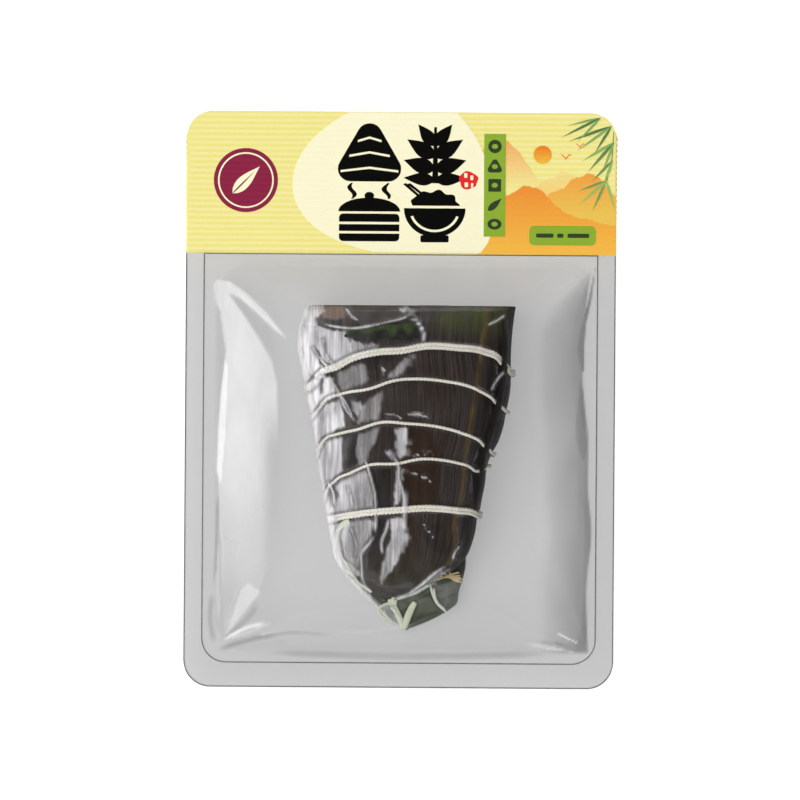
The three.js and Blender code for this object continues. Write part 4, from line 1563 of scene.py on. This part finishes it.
def vacuum_film_glare(x, y, from_left):
    """Painted glare on the film, with painted shadow lines beside each string and ridge and painted
    highlights on the ridges and along the bubble rows.
    """
    haze_and_painted_light = painted_glare_places(x, y, from_left)
    # Painted shadow lines: less glare beside each string and each ridge.
    haze_and_painted_light = haze_and_painted_light * (1 - 0.6 * np.exp(-((string_clearance(x, y) - 0.3) / 0.45) ** 2))
    for points, _, _ in VACUUM_RIDGES:
        haze_and_painted_light = haze_and_painted_light * (1 - 0.5 * ridge(x, y, points, 1.0, taper=0.1))
    # Painted highlights along each ridge and in dotted rows.
    strength = 0.62 + 0.3 * lattice_noise(x, y, 2.6, 62)
    for points, _, width in VACUUM_RIDGES:
        haze_and_painted_light = np.maximum(haze_and_painted_light, strength * ridge(x, y, points, 0.3 + 0.1 * width, taper=0.15))
    dotted = smooth_step(lattice_noise(x, y, 0.55, 63), 0.05, 0.4)
    for points in BUBBLE_GLINT_ROWS:
        haze_and_painted_light = np.maximum(haze_and_painted_light, 0.5 * dotted * ridge(x, y, points, 0.5, taper=0.05))
    return np.clip(haze_and_painted_light, 0, 1)


def build_vacuum_film(material):
    """The inner film, with painted glare on its front and faint glare behind, and duller at its right and its
    two ends.
    """
    grid = vacuum_film_grid()
    piece = add_loft("vacuum_film", grid, material)
    x, y, z = np.moveaxis(grid, 2, 0)
    cx, half, cz, _ = station(FILM, y)
    on_front = smooth_step(z, cz - 1, cz + 5)
    # Painted glare, mostly on the film's front.
    set_values(piece, "haze_and_painted_light", vacuum_film_glare(x, y, x - cx + half) * (0.15 + 0.85 * on_front))
    sheen = (1 - 0.8 * smooth_step((x - cx) / half, 0.7, 0.92)) * (1 - 0.8 * smooth_step(y, 28, 29.4))
    set_values(piece, "sheen", sheen * (1 - 0.5 * smooth_step(-y, 52, 60)))
    set_vectors(piece, "strip", grid)
    weld_ends(piece)


# ---------------------------------------------------------------- stage, light and camera

def build_stage():
    shader = Shader("pale_floor", Roughness=0.7)
    shader.set("Base Color", (0.35, 0.35, 0.35, 1))
    shader.set("Emission Color", (1, 1, 1, 1))
    shader.set("Emission Strength", 0.82)
    mesh = bpy.data.meshes.new("floor")
    reach = 4.0
    corners = [(-reach, -reach, 0), (reach, -reach, 0), (reach, reach, 0), (-reach, reach, 0)]
    mesh.from_pydata(corners, [], [(0, 1, 2, 3)])
    mesh.materials.append(shader.material)
    floor = bpy.data.objects.new("floor", mesh)
    floor.location.z = -0.0004
    bpy.context.scene.collection.objects.link(floor)


def add_softbox(place, target, width, height, watts):
    """A soft light to the left that shines in the films and adds nothing to the plain surfaces."""
    light = bpy.data.lights.new("left_softbox", "AREA")
    light.shape = "RECTANGLE"
    light.size, light.size_y = width, height
    light.energy = watts
    lamp = bpy.data.objects.new("left_softbox", light)
    lamp.location = place
    lamp.rotation_euler = (Vector(target) - Vector(place)).to_track_quat("-Z", "Y").to_euler()
    lamp.visible_camera = False
    lamp.visible_diffuse = False
    bpy.context.scene.collection.objects.link(lamp)


def map_range(tree, value, limits):
    node = tree.nodes.new("ShaderNodeMapRange")
    for key, limit in zip(("From Min", "From Max", "To Min", "To Max"), limits):
        node.inputs[key].default_value = limit
    tree.links.new(value, node.inputs["Value"])
    return node.outputs[0]


def build_world():
    """Soft studio surroundings: bright low on the left, dim on the right and overhead."""
    world = bpy.data.worlds.new("studio")
    bpy.context.scene.world = world
    world.use_nodes = True
    tree = world.node_tree
    background = tree.nodes["Background"]
    place = tree.nodes.new("ShaderNodeTexCoord")
    split = tree.nodes.new("ShaderNodeSeparateXYZ")
    tree.links.new(place.outputs["Generated"], split.inputs[0])
    around = map_range(tree, split.outputs["X"], (-0.75, 0.35, 0.75, 0.06))
    above = map_range(tree, split.outputs["Z"], (0.55, 0.95, 1.0, 0.3))
    tree.links.new(around, background.inputs["Color"])
    tree.links.new(above, background.inputs["Strength"])


def build_lights():
    build_world()
    add_softbox((-0.95, 0.05, 0.5), (0, 0, 0.02), 1.1, 0.7, 1.8)
    light = bpy.data.lights.new("overhead_fill", "SUN")
    light.energy = 2.45
    light.angle = math.radians(50)
    lamp = bpy.data.objects.new("overhead_fill", light)
    lamp.rotation_euler = (math.radians(4), math.radians(-16), 0)
    lamp.visible_glossy = False
    bpy.context.scene.collection.objects.link(lamp)


def build_camera():
    frame_width = 249.3 * MM
    lens, sensor = 300.0, 36.0
    data = bpy.data.cameras.new("camera")
    data.lens, data.sensor_width = lens, sensor
    data.clip_end = 20
    camera = bpy.data.objects.new("camera", data)
    camera.location = (0, 0, SEAM_TOP * MM + frame_width * lens / sensor)
    camera.rotation_euler = (0, 0, math.radians(0.4))
    bpy.context.scene.collection.objects.link(camera)
    bpy.context.scene.camera = camera
    bpy.context.scene.view_settings.view_transform = "Standard"


# ---------------------------------------------------------------- build

def build_dumpling():
    near_black = (0.010, 0.0077, 0.0067), (0.072, 0.056, 0.051), (0.030, 0.0155, 0.0075)
    worn_brown = (0.012, 0.0098, 0.0085), (0.070, 0.056, 0.052), (0.230, 0.150, 0.110)
    leaf = leaf_material("boiled_leaf", *near_black, 0.5)
    build_leaf_bundle(leaf)
    green = green_leaf_material("green_leaf", (0.012, 0.022, 0.006), (0.045, 0.075, 0.020))
    build_leaf_folds(leaf, leaf_material("flap_leaf", *worn_brown, 0.5), green)
    build_leaf_tips(green_leaf_material("leaf_tip", (0.022, 0.029, 0.015), (0.085, 0.10, 0.06)))
    build_ties(green_leaf_material("leaf_tie", (0.36, 0.42, 0.30), (0.62, 0.67, 0.50)))
    build_stalks(green_leaf_material("straw", (0.30, 0.22, 0.09), (0.60, 0.50, 0.26)))
    build_strings(cotton_material())
    build_vacuum_film(vacuum_film_material())


def main():
    build_camera()
    build_lights()
    build_stage()
    film = build_film_bag(outer_film_material(), back_film_material())
    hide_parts("sealed_pouch")
    build_weld_lines(weld_line_material())
    build_header(print_material("header_ink", (0.895, 0.805, 0.245), rib_highlight_colour=(0.94, 0.85, 0.36)))
    build_print()
    build_dumpling()


main()
